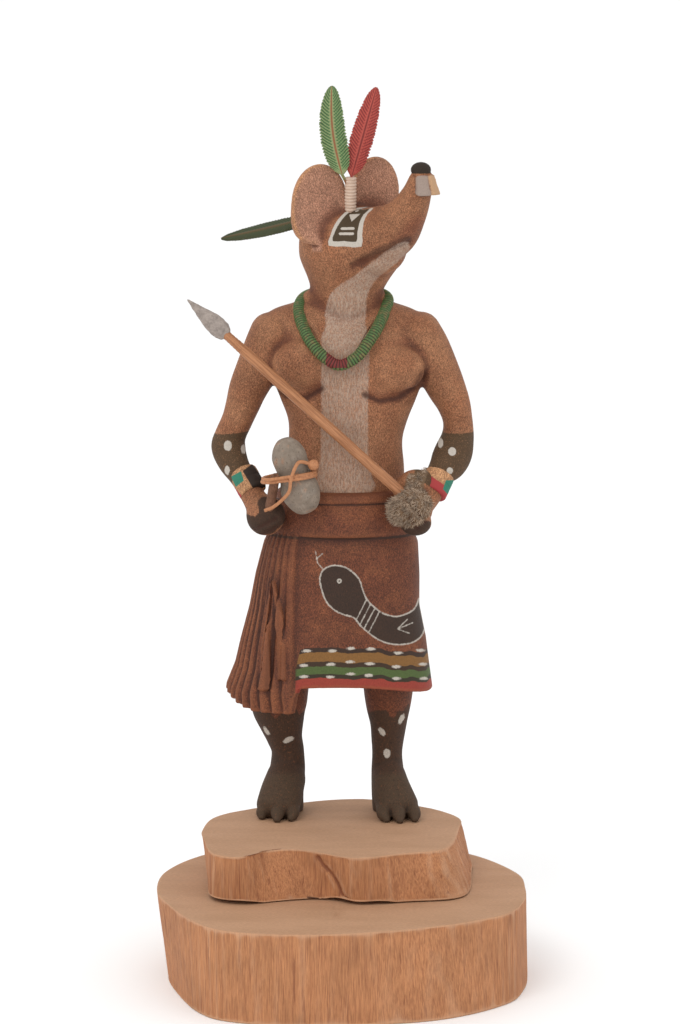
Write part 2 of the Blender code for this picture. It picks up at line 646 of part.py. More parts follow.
def line_distance(points, path):
    """How far points of the front view, x and z, lie from a broken line."""
    nearest = np.full(len(points), 1e9)
    for a, b in zip(np.array(path[:-1], float), np.array(path[1:], float)):
        run = b - a
        t = np.clip(((points - a) @ run) / (run @ run), 0, 1)
        nearest = np.minimum(nearest, np.linalg.norm(points - a - t[:, None] * run, axis=1))
    return nearest


def carving(points, normals):
    """How far each point of the figure is moved along its normal by the knife, in millimetres."""
    front_view = points[:, [0, 2]]
    facing = smooth_step(0.05, 0.45, -normals[:, 1])
    move = np.zeros(len(points))
    for path, width, depth in CUTS:
        move -= depth * facing * np.exp(-((line_distance(front_view, path) / width) ** 2))
    x, z = front_view.T
    for left, right in SASH_ENDS:
        left = np.array(left[::-1])
        right = np.array(right[::-1])
        low, high = left[[0, -1], 1]
        from_left = x - np.interp(z, left[:, 1], left[:, 0])
        from_right = np.interp(z, right[:, 1], right[:, 0]) - x
        inside = np.minimum(from_left, from_right)
        inside = np.minimum(inside, np.minimum(z - low, high - z))
        move += SASH_RAISE * facing * smooth_step(-0.5, 0.5, inside)
    return move


def carve(mesh):
    count = len(mesh.vertices)
    points = np.empty(count * 3, np.float32)
    normals = np.empty(count * 3, np.float32)
    mesh.vertices.foreach_get("co", points)
    mesh.vertex_normals.foreach_get("vector", normals)
    points = points.reshape(-1, 3).astype(float) / MM
    normals = normals.reshape(-1, 3).astype(float)
    moved = points + normals * carving(points, normals)[:, None]
    mesh.vertices.foreach_set("co", (moved * MM).astype(np.float32).ravel())
    mesh.update()


def remesh(obj, passes):
    """Joins all shapes of the object into one skin and softens it."""
    add_modifier(obj, "REMESH", mode="VOXEL", voxel_size=VOXEL * MM)
    add_modifier(obj, "SMOOTH", factor=0.5, iterations=passes)
    settle(obj)


def spear_line():
    """The spear's butt and point in the part's frame, clear in front of the chest."""
    away = -(CHEST_FRONT + CLEARANCE + SPEAR_DIAMETER / 2 / K)
    butt = place_of((SPEAR_BUTT[0], away, SPEAR_BUTT[1]))
    point = place_of((SPEAR_POINT[0], away + SPEAR_TIP_SWING, SPEAR_POINT[1]))
    return butt, point


def figure():
    soft = bmesh.new()
    soft_forms(soft)
    obj = finish("figure", soft)
    remesh(obj, BLEND_PASSES)
    crisp = bmesh.new()
    crisp.from_mesh(obj.data)
    crisp_forms(crisp)
    bpy.data.objects.remove(obj)
    obj = finish("figure", crisp)
    remesh(obj, CRISP_PASSES)
    carve(obj.data)
    obj.data.transform(Matrix.Translation(GROUND * MM) @ Matrix.Scale(K, 4))
    boolean(obj, "DIFFERENCE", ground_cutter())
    thin(obj, FIGURE_TRIANGLES)
    return obj


def ground_cutter():
    """A block whose top cuts the soles flat."""
    bm = bmesh.new()
    reach = FIGURE_HEIGHT
    block(bm, GROUND + Vector((0, 0, CLEARANCE - reach / 2)), (reach, reach, reach / 2))
    return bm


def seat(obj, body):
    """Trims a piece back from the surface of the body that it stands on."""
    tool = body.copy()
    tool.data = body.data.copy()
    bpy.context.scene.collection.objects.link(tool)
    add_modifier(tool, "DISPLACE", strength=SEAT_CLEARANCE * MM, mid_level=0.0)
    settle(tool)
    add_modifier(obj, "BOOLEAN", operation="DIFFERENCE", object=tool, solver="EXACT")
    settle(obj)
    bpy.data.objects.remove(tool)


# Feathers and their post

def post_foot():
    top, foot = place_of(POST_TOP), place_of(POST_FOOT)
    return top + (foot - top).normalized() * POST_LENGTH


def post():
    """A peg wrapped with thread: a row of soft ridges."""
    bm = bmesh.new()
    start, end = post_foot(), place_of(POST_TOP)
    side, depth = Vector((1, 0, 0)), Vector((0, 1, 0))
    rings = []
    steps = POST_RINGS * 2
    for i in range(steps + 1):
        radius = POST_DIAMETER / 2 * (POST_GROOVE if i % 2 == 0 else 1.0)
        rings.append(cross_ring(start.lerp(end, i / steps), side, depth, radius, radius, 12))
    skin(bm, rings)
    obj = finish("feather_post", bm)
    cutter = bmesh.new()
    for foot, base, *_ in (GREEN_FEATHER, RED_FEATHER):
        start, end = place_of(foot), place_of(base)
        along = (end - start).normalized()
        cylinder(cutter, start - along * CLEARANCE, end + along, QUILL_DIAMETER / 2 + CLEARANCE, 8)
    boolean(obj, "DIFFERENCE", cutter)
    return obj


def feather(name, values, flat_side):
    """A carved feather: a thin leaf with a raised shaft and a notched edge, on a round quill."""
    foot, base, tip = (place_of(p) for p in values[:3])
    half_width, bow = values[3] * K, values[4] * K
    along = (tip - base).normalized()
    side = along.cross(Vector(flat_side)).normalized()
    face = side.cross(along)
    if side.x < 0:
        side = -side
    quill = QUILL_DIAMETER / 2
    rings = [cross_ring(foot, side, face, quill, quill, 8), cross_ring(base, side, face, quill, quill, 8)]
    for i, (share, wide) in enumerate(FEATHER_OUTLINE):
        thick = FEATHER_THICKNESS / 2 * (1 - FEATHER_THINNING * share)
        centre = base.lerp(tip, share) + side * (bow * math.sin(math.pi * share))
        ring = []
        for a in np.arange(8) * math.pi / 4:
            flat = FEATHER_EDGE_SHARE if abs(math.cos(a)) > 0.5 else 1.0
            ring.append(centre + side * (half_width * wide * math.cos(a))
                        + face * (math.sin(a) * thick * flat))
        rings.append(ring)
    bm = bmesh.new()
    skin(bm, rings)
    return finish(name, bm, smooth=30.0)


# Spear and club

def spear_foot():
    butt, point = spear_line()
    return butt + (butt - point).normalized() * SPEAR_FIST_SINK


def spear():
    butt, point = spear_line()
    along = (point - butt).normalized()
    side = along.cross(Vector((0, -1, 0))).normalized()
    depth = side.cross(along)
    neck = point - along * SPEAR_HEAD_LENGTH
    radius = SPEAR_DIAMETER / 2
    rings = [cross_ring(spear_foot(), side, depth, radius, radius, 12)]
    wrap_start = neck - along * (SPEAR_WRAP_TURNS * SPEAR_WRAP_PITCH)
    for i in range(2 * SPEAR_WRAP_TURNS + 1):
        share = i / (2 * SPEAR_WRAP_TURNS)
        r = radius * (1 - SPEAR_NECK_TAPER * share) * (SPEAR_WRAP_GROOVE if i % 2 else 1.0)
        centre = wrap_start.lerp(neck - along * CLEARANCE, share)
        rings.append(cross_ring(centre, side, depth, r, r, 12))
    bm = bmesh.new()
    skin(bm, rings)
    shaft = finish("spear_shaft", bm)
    rings = []
    for share, wide in SPEAR_HEAD_PROFILE:
        centre = neck + along * (SPEAR_HEAD_LENGTH * share)
        half = SPEAR_HEAD_WIDTH / 2 * wide
        rings.append(cross_ring(centre, side, depth, half, half * SPEAR_HEAD_FLATNESS, 12))
    bm = bmesh.new()
    skin(bm, rings)
    finish("spear_head", bm, smooth=25.0)
    return shaft


def stone_place():
    away = -(BELLY_FRONT + CLEARANCE + STONE_WIDTH / 2 / K)
    centre = place_of((STONE_AT[0], away, STONE_AT[1]))
    return Matrix.Translation(centre) @ Matrix.Rotation(math.radians(-STONE_LEAN), 4, "Y")


def club():
    place = stone_place()
    side, depth = Vector((1, 0, 0)), Vector((0, 1, 0))
    half = STONE_WIDTH / 2
    rings = []
    for share, wide in STONE_PROFILE:
        centre = Vector((0, 0, share * STONE_LENGTH))
        ring = cross_ring(centre, side, depth, half * wide, half * wide * STONE_FLATNESS, 14)
        rings.append([place @ p for p in ring])
    bm = bmesh.new()
    skin(bm, rings)
    finish("club_stone", bm, smooth=60.0)

    start, end = haft_foot(), place_of(HAFT_TOP)
    along = (end - start).normalized()
    side = along.orthogonal().normalized()
    depth = along.cross(side)
    radius = HAFT_DIAMETER / 2
    rings = [cross_ring(start, side, depth, radius, radius, 12),
             cross_ring(end - along * radius * 0.5, side, depth, radius, radius, 12),
             cross_ring(end, side, depth, radius * 0.7, radius * 0.7, 12)]
    bm = bmesh.new()
    skin(bm, rings)
    lacing()
    return finish("club_haft", bm)


def haft_foot():
    return place_of(HAFT_FOOT)


def wrap_point(turn, ovals):
    """The point furthest out at a turn, on ovals given as centre and half sizes in plan."""
    d = Vector((math.cos(turn), math.sin(turn)))
    reach = []
    for centre, half in ovals:
        size = math.hypot(half[0] * d.x, half[1] * d.y)
        point = Vector(centre) + Vector((half[0] ** 2 * d.x, half[1] ** 2 * d.y)) / size
        reach.append((point.dot(d), point.x, point.y))
    return max(reach)[1:]


def lacing():
    """Two turns of lace round the stone's waist and the haft, a knot, and the end led down to the hand."""
    place = stone_place()
    lace = LACE_DIAMETER / 2
    clear = CLEARANCE + lace
    waist = STONE_WIDTH / 2 * STONE_WAIST
    waist_depth = waist * STONE_FLATNESS
    top, foot = (place.inverted() @ p for p in (place_of(HAFT_TOP), haft_foot()))
    upright = (top.z - foot.z) / (top - foot).length
    haft_half = HAFT_DIAMETER / 2 / upright + clear + CLEARANCE
    haft_deep = haft_half + LACE_SLACK

    def haft_at(height):
        return top.lerp(foot, (top.z - height) / (top.z - foot.z))

    bm = bmesh.new()
    for turn_height in (LACE_DIAMETER * lift for lift in LACE_TURNS):
        haft = haft_at(turn_height)
        ovals = [((0, 0), (waist + clear, waist_depth + clear)), ((haft.x, haft.y), (haft_half, haft_deep))]
        points = []
        for turn in np.arange(LACE_STEPS) * 2 * math.pi / LACE_STEPS:
            x, y = wrap_point(turn, ovals)
            points.append(place @ Vector((x, y, turn_height + LACE_SLOPE * x)))
        tube(bm, points, lace, closed=True)
    right, front = waist + clear, waist_depth + clear
    knot = Vector(KNOT_SET) + Vector((right, 0, 0))
    ball(bm, place @ knot, [KNOT_DIAMETER / 2] * 3)
    low = haft_at(LACE_END_HEIGHT)
    over = Vector((low.x, min(low.y - haft_deep, -front), LACE_END_HEIGHT))
    route = [knot, Vector(LACE_LEAVE) + Vector((right, -front, 0))]
    route += [Vector(point) - Vector((0, front, 0)) for point in LACE_OVER]
    route += [over + Vector(point) for point in LACE_END]
    tube(bm, [place @ Vector(p) for p in curve_through(route, 4)], lace)
    obj = finish("club_lacing", bm)
    add_modifier(obj, "REMESH", mode="VOXEL", voxel_size=LACE_VOXEL * MM)
    add_modifier(obj, "SMOOTH", factor=0.5, iterations=CRISP_PASSES)
    thin(obj, LACE_TRIANGLES)
    return obj


def main():
    clear_scene()
    half_base = (BASE_WIDTH / 2, BASE_DEPTH / 2)
    half_slab = (SLAB_WIDTH / 2, SLAB_DEPTH / 2)
    slab("lower_base", BASE_BOTTOM, BASE_TOP, half_base, (0, 0), 0, BASE_HEIGHT)
    slab("upper_base", SLAB_BOTTOM, SLAB_TOP, half_slab, (-SLAB_LEFT_SET, SLAB_BACK_SET),
         BASE_HEIGHT + CLEARANCE, SLAB_HEIGHT - CLEARANCE)
    body = figure()
    feather("feather_green", GREEN_FEATHER, (0, -1, 0))
    feather("feather_red", RED_FEATHER, (0.25, -1, 0))
    seat(feather("feather_back", BACK_FEATHER, (0, -0.55, 1)), body)
    seat(post(), body)
    seat(spear(), body)
    seat(club(), body)


main()
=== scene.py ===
"""The looks of the carved mouse doll: fine carving, paint, grain, fur and thread, fitted on its solid parts.

Lengths are in millimetres until a mesh is made. The doll faces -Y and +Z is up. The figure's forms are
written from its own ground point between the feet. Outlines of paint are written as points of the front
view, in the picture's own pixels, and lie on whatever surface is seen there.
"""

import math

import bmesh
import bpy
import numpy as np
from mathutils import Matrix, Vector


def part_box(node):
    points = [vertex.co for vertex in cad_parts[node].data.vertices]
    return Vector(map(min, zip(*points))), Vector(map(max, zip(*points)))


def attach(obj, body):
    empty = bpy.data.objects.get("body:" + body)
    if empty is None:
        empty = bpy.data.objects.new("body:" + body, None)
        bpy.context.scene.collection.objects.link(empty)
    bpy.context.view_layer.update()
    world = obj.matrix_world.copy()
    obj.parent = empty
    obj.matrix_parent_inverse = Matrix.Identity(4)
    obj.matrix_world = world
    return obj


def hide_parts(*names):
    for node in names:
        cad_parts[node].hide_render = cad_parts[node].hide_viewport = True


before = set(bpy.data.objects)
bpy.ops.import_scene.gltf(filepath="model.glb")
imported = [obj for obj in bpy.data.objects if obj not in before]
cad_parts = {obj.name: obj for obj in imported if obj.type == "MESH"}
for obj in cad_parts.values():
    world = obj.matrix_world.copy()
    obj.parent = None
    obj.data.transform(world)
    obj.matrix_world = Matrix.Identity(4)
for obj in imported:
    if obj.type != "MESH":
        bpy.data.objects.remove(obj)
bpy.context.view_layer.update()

MM = 0.001

# The camera, and the picture that it takes
PICTURE_WIDTH, PICTURE_HEIGHT = 681, 1024
CAMERA_AT = Vector((-0.8, -1496.9, 432.5))
CAMERA_DOWN = 9.0
LENS, SENSOR = 129.74, 36.0
PIXEL = 0.42

# The figure's ground point, and the sizes that come from the frame
GROUND = Vector((-0.5, 43.7, 58.0))
BASE_TOP_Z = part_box("lower_base")[1].z / MM
SLAB_LOW_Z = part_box("upper_base")[0].z / MM
SLAB_TOP_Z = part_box("upper_base")[1].z / MM

# Fineness of the carved surfaces
BODY_VOXEL = 0.56
KILT_VOXEL = 0.46
LEG_VOXEL = 0.5
LACE_VOXEL = 0.22
BLEND_LENGTH = 2.7
SEED = 11

# The two slabs seen from above, as shares of half the width and depth, from the left side round by the front
BASE_TOP = [
    (-1.00, -0.06), (-0.945, -0.34), (-0.75, -0.78), (-0.50, -0.965), (-0.04, -0.985),
    (0.42, -0.86), (0.83, -0.62), (0.96, -0.34), (0.985, -0.05), (0.95, 0.27),
    (0.72, 0.67), (0.33, 0.94), (-0.04, 1.00), (-0.42, 0.93), (-0.78, 0.65), (-0.965, 0.30),
]
BASE_BOTTOM = [
    (-0.94, -0.05), (-0.90, -0.32), (-0.76, -0.74), (-0.57, -0.925), (-0.14, -1.00),
    (0.47, -0.90), (0.85, -0.62), (0.97, -0.33), (1.00, 0.00), (0.97, 0.28),
    (0.74, 0.66), (0.35, 0.92), (-0.03, 0.98), (-0.40, 0.91), (-0.74, 0.63), (-0.91, 0.29),
]
SLAB_TOP = [
    (-0.985, -0.10), (-0.96, -0.42), (-0.885, -0.84), (-0.68, -0.98), (-0.50, -0.79), (-0.34, -0.72),
    (-0.17, -0.80), (0.13, -1.00), (0.44, -0.86), (0.78, -0.66), (0.90, 0.00), (0.90, 0.36),
    (0.64, 0.72), (0.19, 0.985), (-0.26, 0.86), (-0.60, 0.67), (-0.90, 0.36),
]
SLAB_BOTTOM = [
    (-0.92, -0.10), (-0.93, -0.45), (-0.89, -0.86), (-0.66, -0.985), (-0.42, -0.90), (-0.19, -0.83),
    (-0.02, -0.87), (0.16, -0.99), (0.50, -0.92), (0.92, -0.76), (1.00, -0.05), (0.98, 0.34),
    (0.70, 0.72), (0.22, 0.99), (-0.22, 0.87), (-0.55, 0.68), (-0.84, 0.36),
]
BASE_HALF = (77.5, 77.5)
SLAB_HALF = (57.5, 52.5)
SLAB_MIDDLE = (-2.6, 19.0)
SLAB_EDGE = 1.0

# The figure's limbs as x, y, z, half width, half depth
TORSO = [
    (0.0, 1.0, 104, 29.0, 18.5), (0.2, 0.8, 120, 29.0, 18.6), (1.0, 0.6, 136, 26.0, 17.6),
    (1.8, 0.5, 150, 24.8, 16.6), (1.8, 0.5, 161, 24.0, 16.2), (2.8, 0.2, 170, 25.2, 16.6),
    (3.0, 0.2, 179, 28.6, 17.0), (2.8, 0.6, 189, 32.2, 17.6), (2.4, 1.2, 200, 34.0, 17.2),
    (2.3, 2.0, 207, 34.4, 15.2), (1.6, 2.6, 212.8, 33.6, 12.6), (0.9, 3.0, 216.4, 29.2, 11.0),
    (1.2, 3.4, 219.4, 20.0, 9.2),
]
HEAD = [
    (2.7, 3.8, 214, 15.2, 13.0), (2.4, 3.4, 223.5, 15.2, 14.0), (2.9, 3.2, 227, 16.2, 15.0),
    (3.4, 2.8, 230.4, 17.8, 16.2), (3.9, 2.4, 234, 19.8, 17.6), (3.9, 2.0, 238.5, 21.4, 18.8),
    (3.8, 2.0, 243, 21.6, 19.0), (3.7, 2.0, 247, 21.2, 17.8),
]
SNOUT = [
    (7.0, -2.0, 245.2, 16.2, 13.6), (14.5, -8.6, 247.6, 14.0, 12.5), (21.6, -15.0, 251.4, 11.5, 11.2),
    (27.3, -20.5, 258.6, 8.2, 8.3), (30.8, -24.2, 266.0, 6.2, 6.4), (32.6, -26.0, 272.4, 4.8, 5.1),
]
RIGHT_ARM = [
    (-27.5, 2.0, 205.8, 11.0, 11.4), (-30.9, 2.0, 199.5, 10.3, 11.0), (-35.0, 1.6, 191.5, 9.2, 9.6),
    (-39.0, 1.4, 183.2, 8.2, 8.6), (-41.4, 2.0, 176.2, 7.3, 7.8), (-43.8, 2.6, 169.6, 6.6, 7.2),
    (-46.7, 3.2, 163.0, 6.6, 7.1), (-47.6, 1.5, 158.2, 7.3, 7.2), (-45.6, -3.0, 152.6, 6.5, 6.4),
    (-41.8, -8.0, 147.0, 5.3, 5.4), (-37.6, -13.0, 140.5, 5.0, 5.0), (-34.4, -15.5, 135.5, 5.6, 5.6),
]
LEFT_ARM = [
    (31.2, 2.0, 205.8, 11.0, 11.4), (35.6, 2.0, 199.5, 10.3, 11.0), (40.2, 1.6, 191.5, 9.1, 9.6),
    (44.2, 1.4, 183.2, 8.2, 8.6), (47.4, 2.0, 176.2, 7.1, 7.8), (49.2, 2.8, 169.0, 6.3, 7.0),
    (49.2, 2.6, 162.6, 6.9, 7.2), (47.4, -2.0, 156.6, 8.1, 7.6), (44.8, -7.0, 152.2, 7.8, 7.2),
    (41.2, -12.5, 148.4, 5.8, 5.6), (37.4, -18.0, 141.6, 5.2, 5.2), (33.0, -21.5, 137.0, 5.8, 5.8),
]
RIGHT_LEG = [
    (-25.0, 2.0, 66, 12.5, 13.0), (-26.2, 2.5, 54, 12.3, 12.4), (-26.5, 3.0, 46, 11.8, 11.4),
    (-25.4, 4.0, 38.5, 9.6, 9.8), (-24.2, 5.2, 32, 7.7, 8.2), (-22.9, 6.0, 26.5, 7.0, 7.4),
    (-23.0, 7.0, 18, 7.6, 7.6), (-23.8, 7.0, 8, 7.7, 9.0), (-24.0, 6.0, 1, 7.9, 9.4),
]
LEFT_LEG = [
    (20.0, 2.0, 66, 11.2, 12.6), (20.1, 2.5, 54, 10.6, 11.8), (20.1, 3.2, 46, 9.5, 10.4),
    (20.2, 4.2, 38.5, 7.9, 9.0), (19.9, 5.2, 32, 7.1, 8.0), (19.7, 6.0, 25, 6.5, 7.2),
    (19.9, 7.0, 17, 7.0, 7.6), (20.4, 7.0, 8, 7.4, 9.0), (20.8, 6.0, 1, 7.4, 9.4),
]
RIGHT_FOOT = [
    (-23.4, 4.5, 15.0, 8.3, 9.4), (-25.4, -1.0, 9.4, 9.1, 9.4), (-27.0, -6.5, 4.6, 9.5, 7.6),
]
LEFT_FOOT = [
    (20.2, 4.5, 15.0, 7.3, 9.4), (21.8, -1.5, 9.4, 8.3, 9.4), (24.2, -7.5, 4.6, 9.2, 7.6),
]
TOE_RADII = (2.9, 2.9, 1.5)
RIGHT_TOES = [
    ((-31.2, -4.5, 5.4), (-33.4, -9.2, 2.6), (-33.8, -11.6, 0.8)),
    ((-26.2, -7.5, 5.8), (-27.0, -13.4, 3.0), (-27.2, -16.8, 0.9)),
    ((-20.8, -6.0, 5.6), (-20.6, -11.6, 2.8), (-21.4, -14.6, 0.9)),
]
LEFT_TOES = [
    ((17.8, -8.0, 5.6), (18.0, -13.6, 2.8), (19.4, -16.6, 0.9)),
    ((23.6, -8.8, 5.8), (24.4, -15.0, 3.0), (25.0, -18.4, 0.9)),
    ((29.4, -6.6, 5.6), (31.0, -12.6, 2.8), (31.2, -16.0, 0.9)),
]

# Rounded masses as centre, half sizes
PECS = [((-13.5, -8.6, 194.5), (15.5, 9.3, 11.5)), ((18.5, -8.6, 192.5), (16.5, 9.3, 11.5))]
CHEEK = ((15.6, -8.0, 242.8), (11.8, 11.4, 11.2))
HIPS = [((-14.0, 10.0, 108.0), (15.0, 13.0, 18.0)), ((16.0, 10.0, 108.0), (15.0, 13.0, 18.0))]
NOSE = ((32.6, -27.4, 276.6), (4.2, 4.0, 3.2))
RIGHT_FIST = ((-31.6, -17.2, 131.8), (8.2, 7.6, 8.6))
LEFT_FIST = ((29.0, -25.2, 135.8), (9.2, 7.4, 8.6))
LEFT_PALM = ((31.0, -22.4, 129.6), (6.8, 6.0, 5.6))
HAND_FUR = [((31.4, -18.0, 145.6), (7.8, 6.6, 5.8)), ((27.0, -16.5, 142.6), (5.6, 6.0, 6.2))]

# Each tooth as the middles of its root and its edge, and its turn about Z
TEETH = [((32.6, -29.2, 274.6), (33.6, -32.2, 266.2), 14.0),
         ((36.0, -27.6, 274.6), (38.6, -29.4, 266.4), 62.0)]
TOOTH_ROOT = (1.9, 1.5)
TOOTH_EDGE = (2.7, 1.2)

# Ears as middle, half width and half height
EAR_THICKNESS = 3.6
EAR_ROUNDING = 0.9
EAR_TAPER = 0.06
EAR_TURN, EAR_LEAN, EAR_ROLL = 18.0, 7.0, 7.0
EAR_LOWER_SHARE, EAR_LOWER_CORNER = 0.88, 0.72
EARS = [((-9.2, -9.6, 260.0), 11.9, 17.9), ((13.8, 1.5, 264.0), 10.5, 16.3)]

# The kilt's half widths and depths by height: z, left, right, front, back
KILT = [
    (127.0, 27.2, 29.0, 18.2, 19.4), (118.0, 31.3, 32.5, 20.2, 22.0), (104.7, 34.8, 33.2, 21.6, 23.2),
    (91.0, 37.4, 33.2, 22.4, 23.4), (77.0, 41.2, 36.0, 23.6, 23.8), (66.0, 43.8, 37.4, 24.8, 24.4),
    (56.0, 47.8, 38.8, 26.0, 25.0),
]
KILT_SQUARENESS = 2.35
HEM_MIDDLE, HEM_SIDE, PANEL_HEM = 59.8, 55.5, 48.4
HEM_SIDE_TURN = 75
HEM_WALL, HEM_HOLLOW = 3.4, 2.0
PANEL_FRONT_EDGE = (-33.0, -19.0)
PANEL_BACK_EDGE = -168.0
PANEL_RAISE = 1.5
FLUTES = 19
FLUTE_DEPTH = (1.7, 3.1)

# Belt rows as z and how far they stand out from the torso
BELT = [
    (122.2, 0.4), (123.0, 3.4), (128.0, 3.7), (135.4, 3.0), (136.5, 1.9), (137.4, 3.1), (139.8, 2.8),
    (141.2, 0.9),
]
NECKLACE = [
    (2.6, 18.2, 222.4), (-8.8, 14.2, 222.2), (-15.2, 4.4, 221.2), (-17.6, -2.4, 217.8),
    (-16.8, -8.4, 212.6), (-13.2, -15.4, 205.4), (-8.0, -18.8, 199.4), (-1.0, -20.4, 195.4),
    (6.4, -19.6, 198.6), (11.4, -17.0, 204.6), (15.0, -12.6, 210.0), (18.0, -5.8, 215.8),
    (19.4, 2.4, 220.8), (14.2, 14.0, 222.2),
]
NECKLACE_RADIUS = 2.5

# Each cuff as two points on the forearm's line, and its radius
RIGHT_CUFF = ((-41.5, -7.5, 148.6), (-36.6, -13.4, 140.8), 6.0)
LEFT_CUFF = ((41.4, -13.0, 148.4), (37.6, -18.2, 141.0), 6.3)

# The feather post; each feather's quill foot, base, tip, greatest half width and sideways bow
POST_FOOT, POST_TOP = (3.8, -7.0, 257.0), (3.9, -8.6, 272.2)
POST_RADIUS = 2.5
QUILL_RADIUS = 0.65
FEATHER_THICKNESS = 2.2
BARB_PITCH = 1.35
FEATHERS = {
    "feather_green": ((2.8, -8.8, 268.8), (0.4, -10.0, 273.4), (-4.0, -10.0, 310.6), 5.6, -1.8, (0, -1, 0)),
    "feather_red": ((5.0, -8.0, 268.8), (4.2, -7.3, 272.8), (14.7, -7.0, 309.9), 5.1, 0.0, (0.25, -1, 0)),
    "feather_back": ((-6.0, 9.0, 254.4), (-12.0, 14.0, 253.6), (-51.4, 21.0, 244.2), 5.6, -0.6,
                     (0, -0.55, 1)),
}
FEATHER_OUTLINE = [
    (0.0, 0.12), (0.04, 0.42), (0.1, 0.72), (0.18, 0.9), (0.28, 0.98), (0.42, 1.0), (0.56, 0.97), (0.7, 0.88),
    (0.83, 0.72), (0.93, 0.5), (0.985, 0.24), (1.0, 0.05),
]

# The spear, and the club in the other hand
SPEAR_BUTT, SPEAR_POINT = (27.0, 140.6), (-63.6, 222.9)
SPEAR_RADIUS = 2.3
SHAFT_UNEVENNESS, SHAFT_WEAR = 0.07, 0.05
CUFF_UNEVENNESS = 0.12
SPEAR_HEAD_LENGTH, SPEAR_HEAD_WIDTH = 22.5, 8.6
CHEST_FRONT, SPEAR_TIP_SWING = 22.0, 2.0
STONE_AT = (-19.0, 150.2)
STONE_LENGTH, STONE_WIDTH = 33.5, 16.6
STONE_LEAN = 18.0
STONE_FLATNESS = 0.86
STONE_WAIST = 0.86
BELLY_FRONT = 18.6
STONE_PROFILE = [
    (-0.5, 0.0), (-0.495, 0.25), (-0.46, 0.54), (-0.38, 0.8), (-0.26, 0.98), (-0.14, 0.97), (-0.04, 0.84),
    (0.04, 0.81), (0.14, 0.87), (0.26, 0.9), (0.36, 0.77), (0.44, 0.54), (0.485, 0.28), (0.49, 0.0),
]
HAFT_FOOT, HAFT_TOP = (-30.6, -20.0, 132.0), (-27.0, -33.0, 151.2)
HAFT_RADIUS = 2.1
CLEARANCE = 0.3
LACE_RADIUS = 0.75
LACE_TURNS = (-0.46, 0.46)
LACE_SLOPE = -0.2
LACE_SLACK = 0.8
LACE_END_HEIGHT = -8.6
KNOT_RADIUS = 2.3
KNOT_SET = (0.5, -4.4, 2.4)
LACE_LEAVE = (-4.0, 0.4, 5.6)
LACE_OVER = [(1.6, -0.9, 4.4), (-1.8, -1.0, 0.0), (-4.6, -0.9, -5.0)]
LACE_END = [(2.2, 0.0, 0.0), (-2.6, 0.6, -0.6)]

# Paints and stains
TONES = {
    "stain": "#925F40", "stain_dark": "#5A3220", "stain_light": "#A87A58", "ear": "#A67A64",
    "ear_rim": "#C28A5A", "kilt": "#6C3B25", "kilt_dark": "#3C1D12", "kilt_light": "#8C5433",
    "umber": "#423421", "white": "#B8B0A5", "pale": "#AF9B8A", "muzzle": "#73402B", "nose": "#2E241C",
    "tooth": "#98867B", "tooth_tan": "#B5906E", "glue": "#B9794A", "ochre": "#80592B", "green": "#4B5D2F",
    "red": "#92372A", "line": "#2E2118", "turquoise": "#2C735E", "cuff_red": "#9B3535",
    "cuff_tan": "#B3865F", "bead_green": "#4D693B", "bead_red": "#722B28", "bead_brown": "#8A6B45",
    "fur": "#B49E89", "fur_dark": "#6E5944", "wood": "#B48C6D", "wood_dark": "#967050",
    "wood_light": "#D2AC8C", "bark": "#B47C54", "bark_dark": "#784630", "thread": "#CDB6A4",
    "thread_dark": "#AE8D78", "plume_green": "#5F8150", "plume_green_dark": "#2F4A28",
    "plume_red": "#A8433A", "plume_red_dark": "#6E2624", "plume_back": "#34411F",
    "plume_back_dark": "#20301A", "shaft": "#B07A54", "shaft_dark": "#8E5C3B", "point": "#9A8E86",
    "point_dark": "#6F655F", "stone": "#857769", "stone_dark": "#54463A", "stone_light": "#A89C8F",
    "haft": "#7A5540", "haft_dark": "#3E281D", "thong": "#B57C55", "thong_dark": "#7A4A30",
    # gap_shadow_tone is the dark of painted shadow in the gaps under the slab
    "leg": "#3F2C1F", "leg_dark": "#2A1E16", "quill": "#8A4A2C", "gap_shadow_tone": "#3A2218",
    # hollow_shade is the tone of painted shade in the wide hollows
    "hollow_shade": "#62321F", "plume_green_light": "#A09A70", "plume_red_light": "#B5564A",
    "plume_back_light": "#5A4428", "foot": "#493929",
}

# Paint on the head, in the picture's pixels
PANEL_OUTER = [
    (328.5, 245.6), (330.2, 236.0), (334.6, 224.6), (341.5, 215.6), (349.0, 209.6), (357.0, 207.8),
    (373.8, 207.0), (367.6, 213.6), (363.6, 223.0), (362.2, 235.0), (361.4, 246.8), (345.0, 246.4),
]
PANEL_INNER = [
    (332.6, 241.2), (334.4, 233.2), (338.0, 225.6), (343.6, 217.6), (350.0, 211.8), (358.0, 209.6),
    (369.6, 208.6), (363.6, 214.4), (359.4, 222.8), (357.4, 233.0), (356.2, 241.8), (344.0, 241.0),
]
PANEL_TRIANGLE = [(349.0, 214.4), (360.4, 213.8), (351.6, 221.6)]
PANEL_BARS = [[(341.8, 228.6), (353.4, 228.4)], [(340.0, 233.8), (352.8, 233.8)],
              [(355.8, 211.2), (358.6, 210.6)]]
BAR_HALF = (1.3, 1.3, 0.6)
THROAT = [
    (409.4, 244.6), (404.4, 241.6), (392.8, 247.2), (377.4, 257.8), (362.0, 270.2), (346.8, 280.8),
    (334.6, 289.4), (328.4, 299.4), (325.0, 313.8), (326.0, 322.0), (324.0, 332.0), (321.4, 340.0),
    (321.4, 400.0), (321.0, 450.0), (320.6, 492.0), (372.4, 492.0), (370.0, 470.0), (368.0, 450.0),
    (368.0, 400.0), (369.4, 350.0), (365.6, 326.0), (366.0, 312.0), (366.8, 298.0), (370.6, 287.4),
    (377.8, 277.8), (389.8, 268.6), (402.0, 257.6), (408.8, 250.4),
]
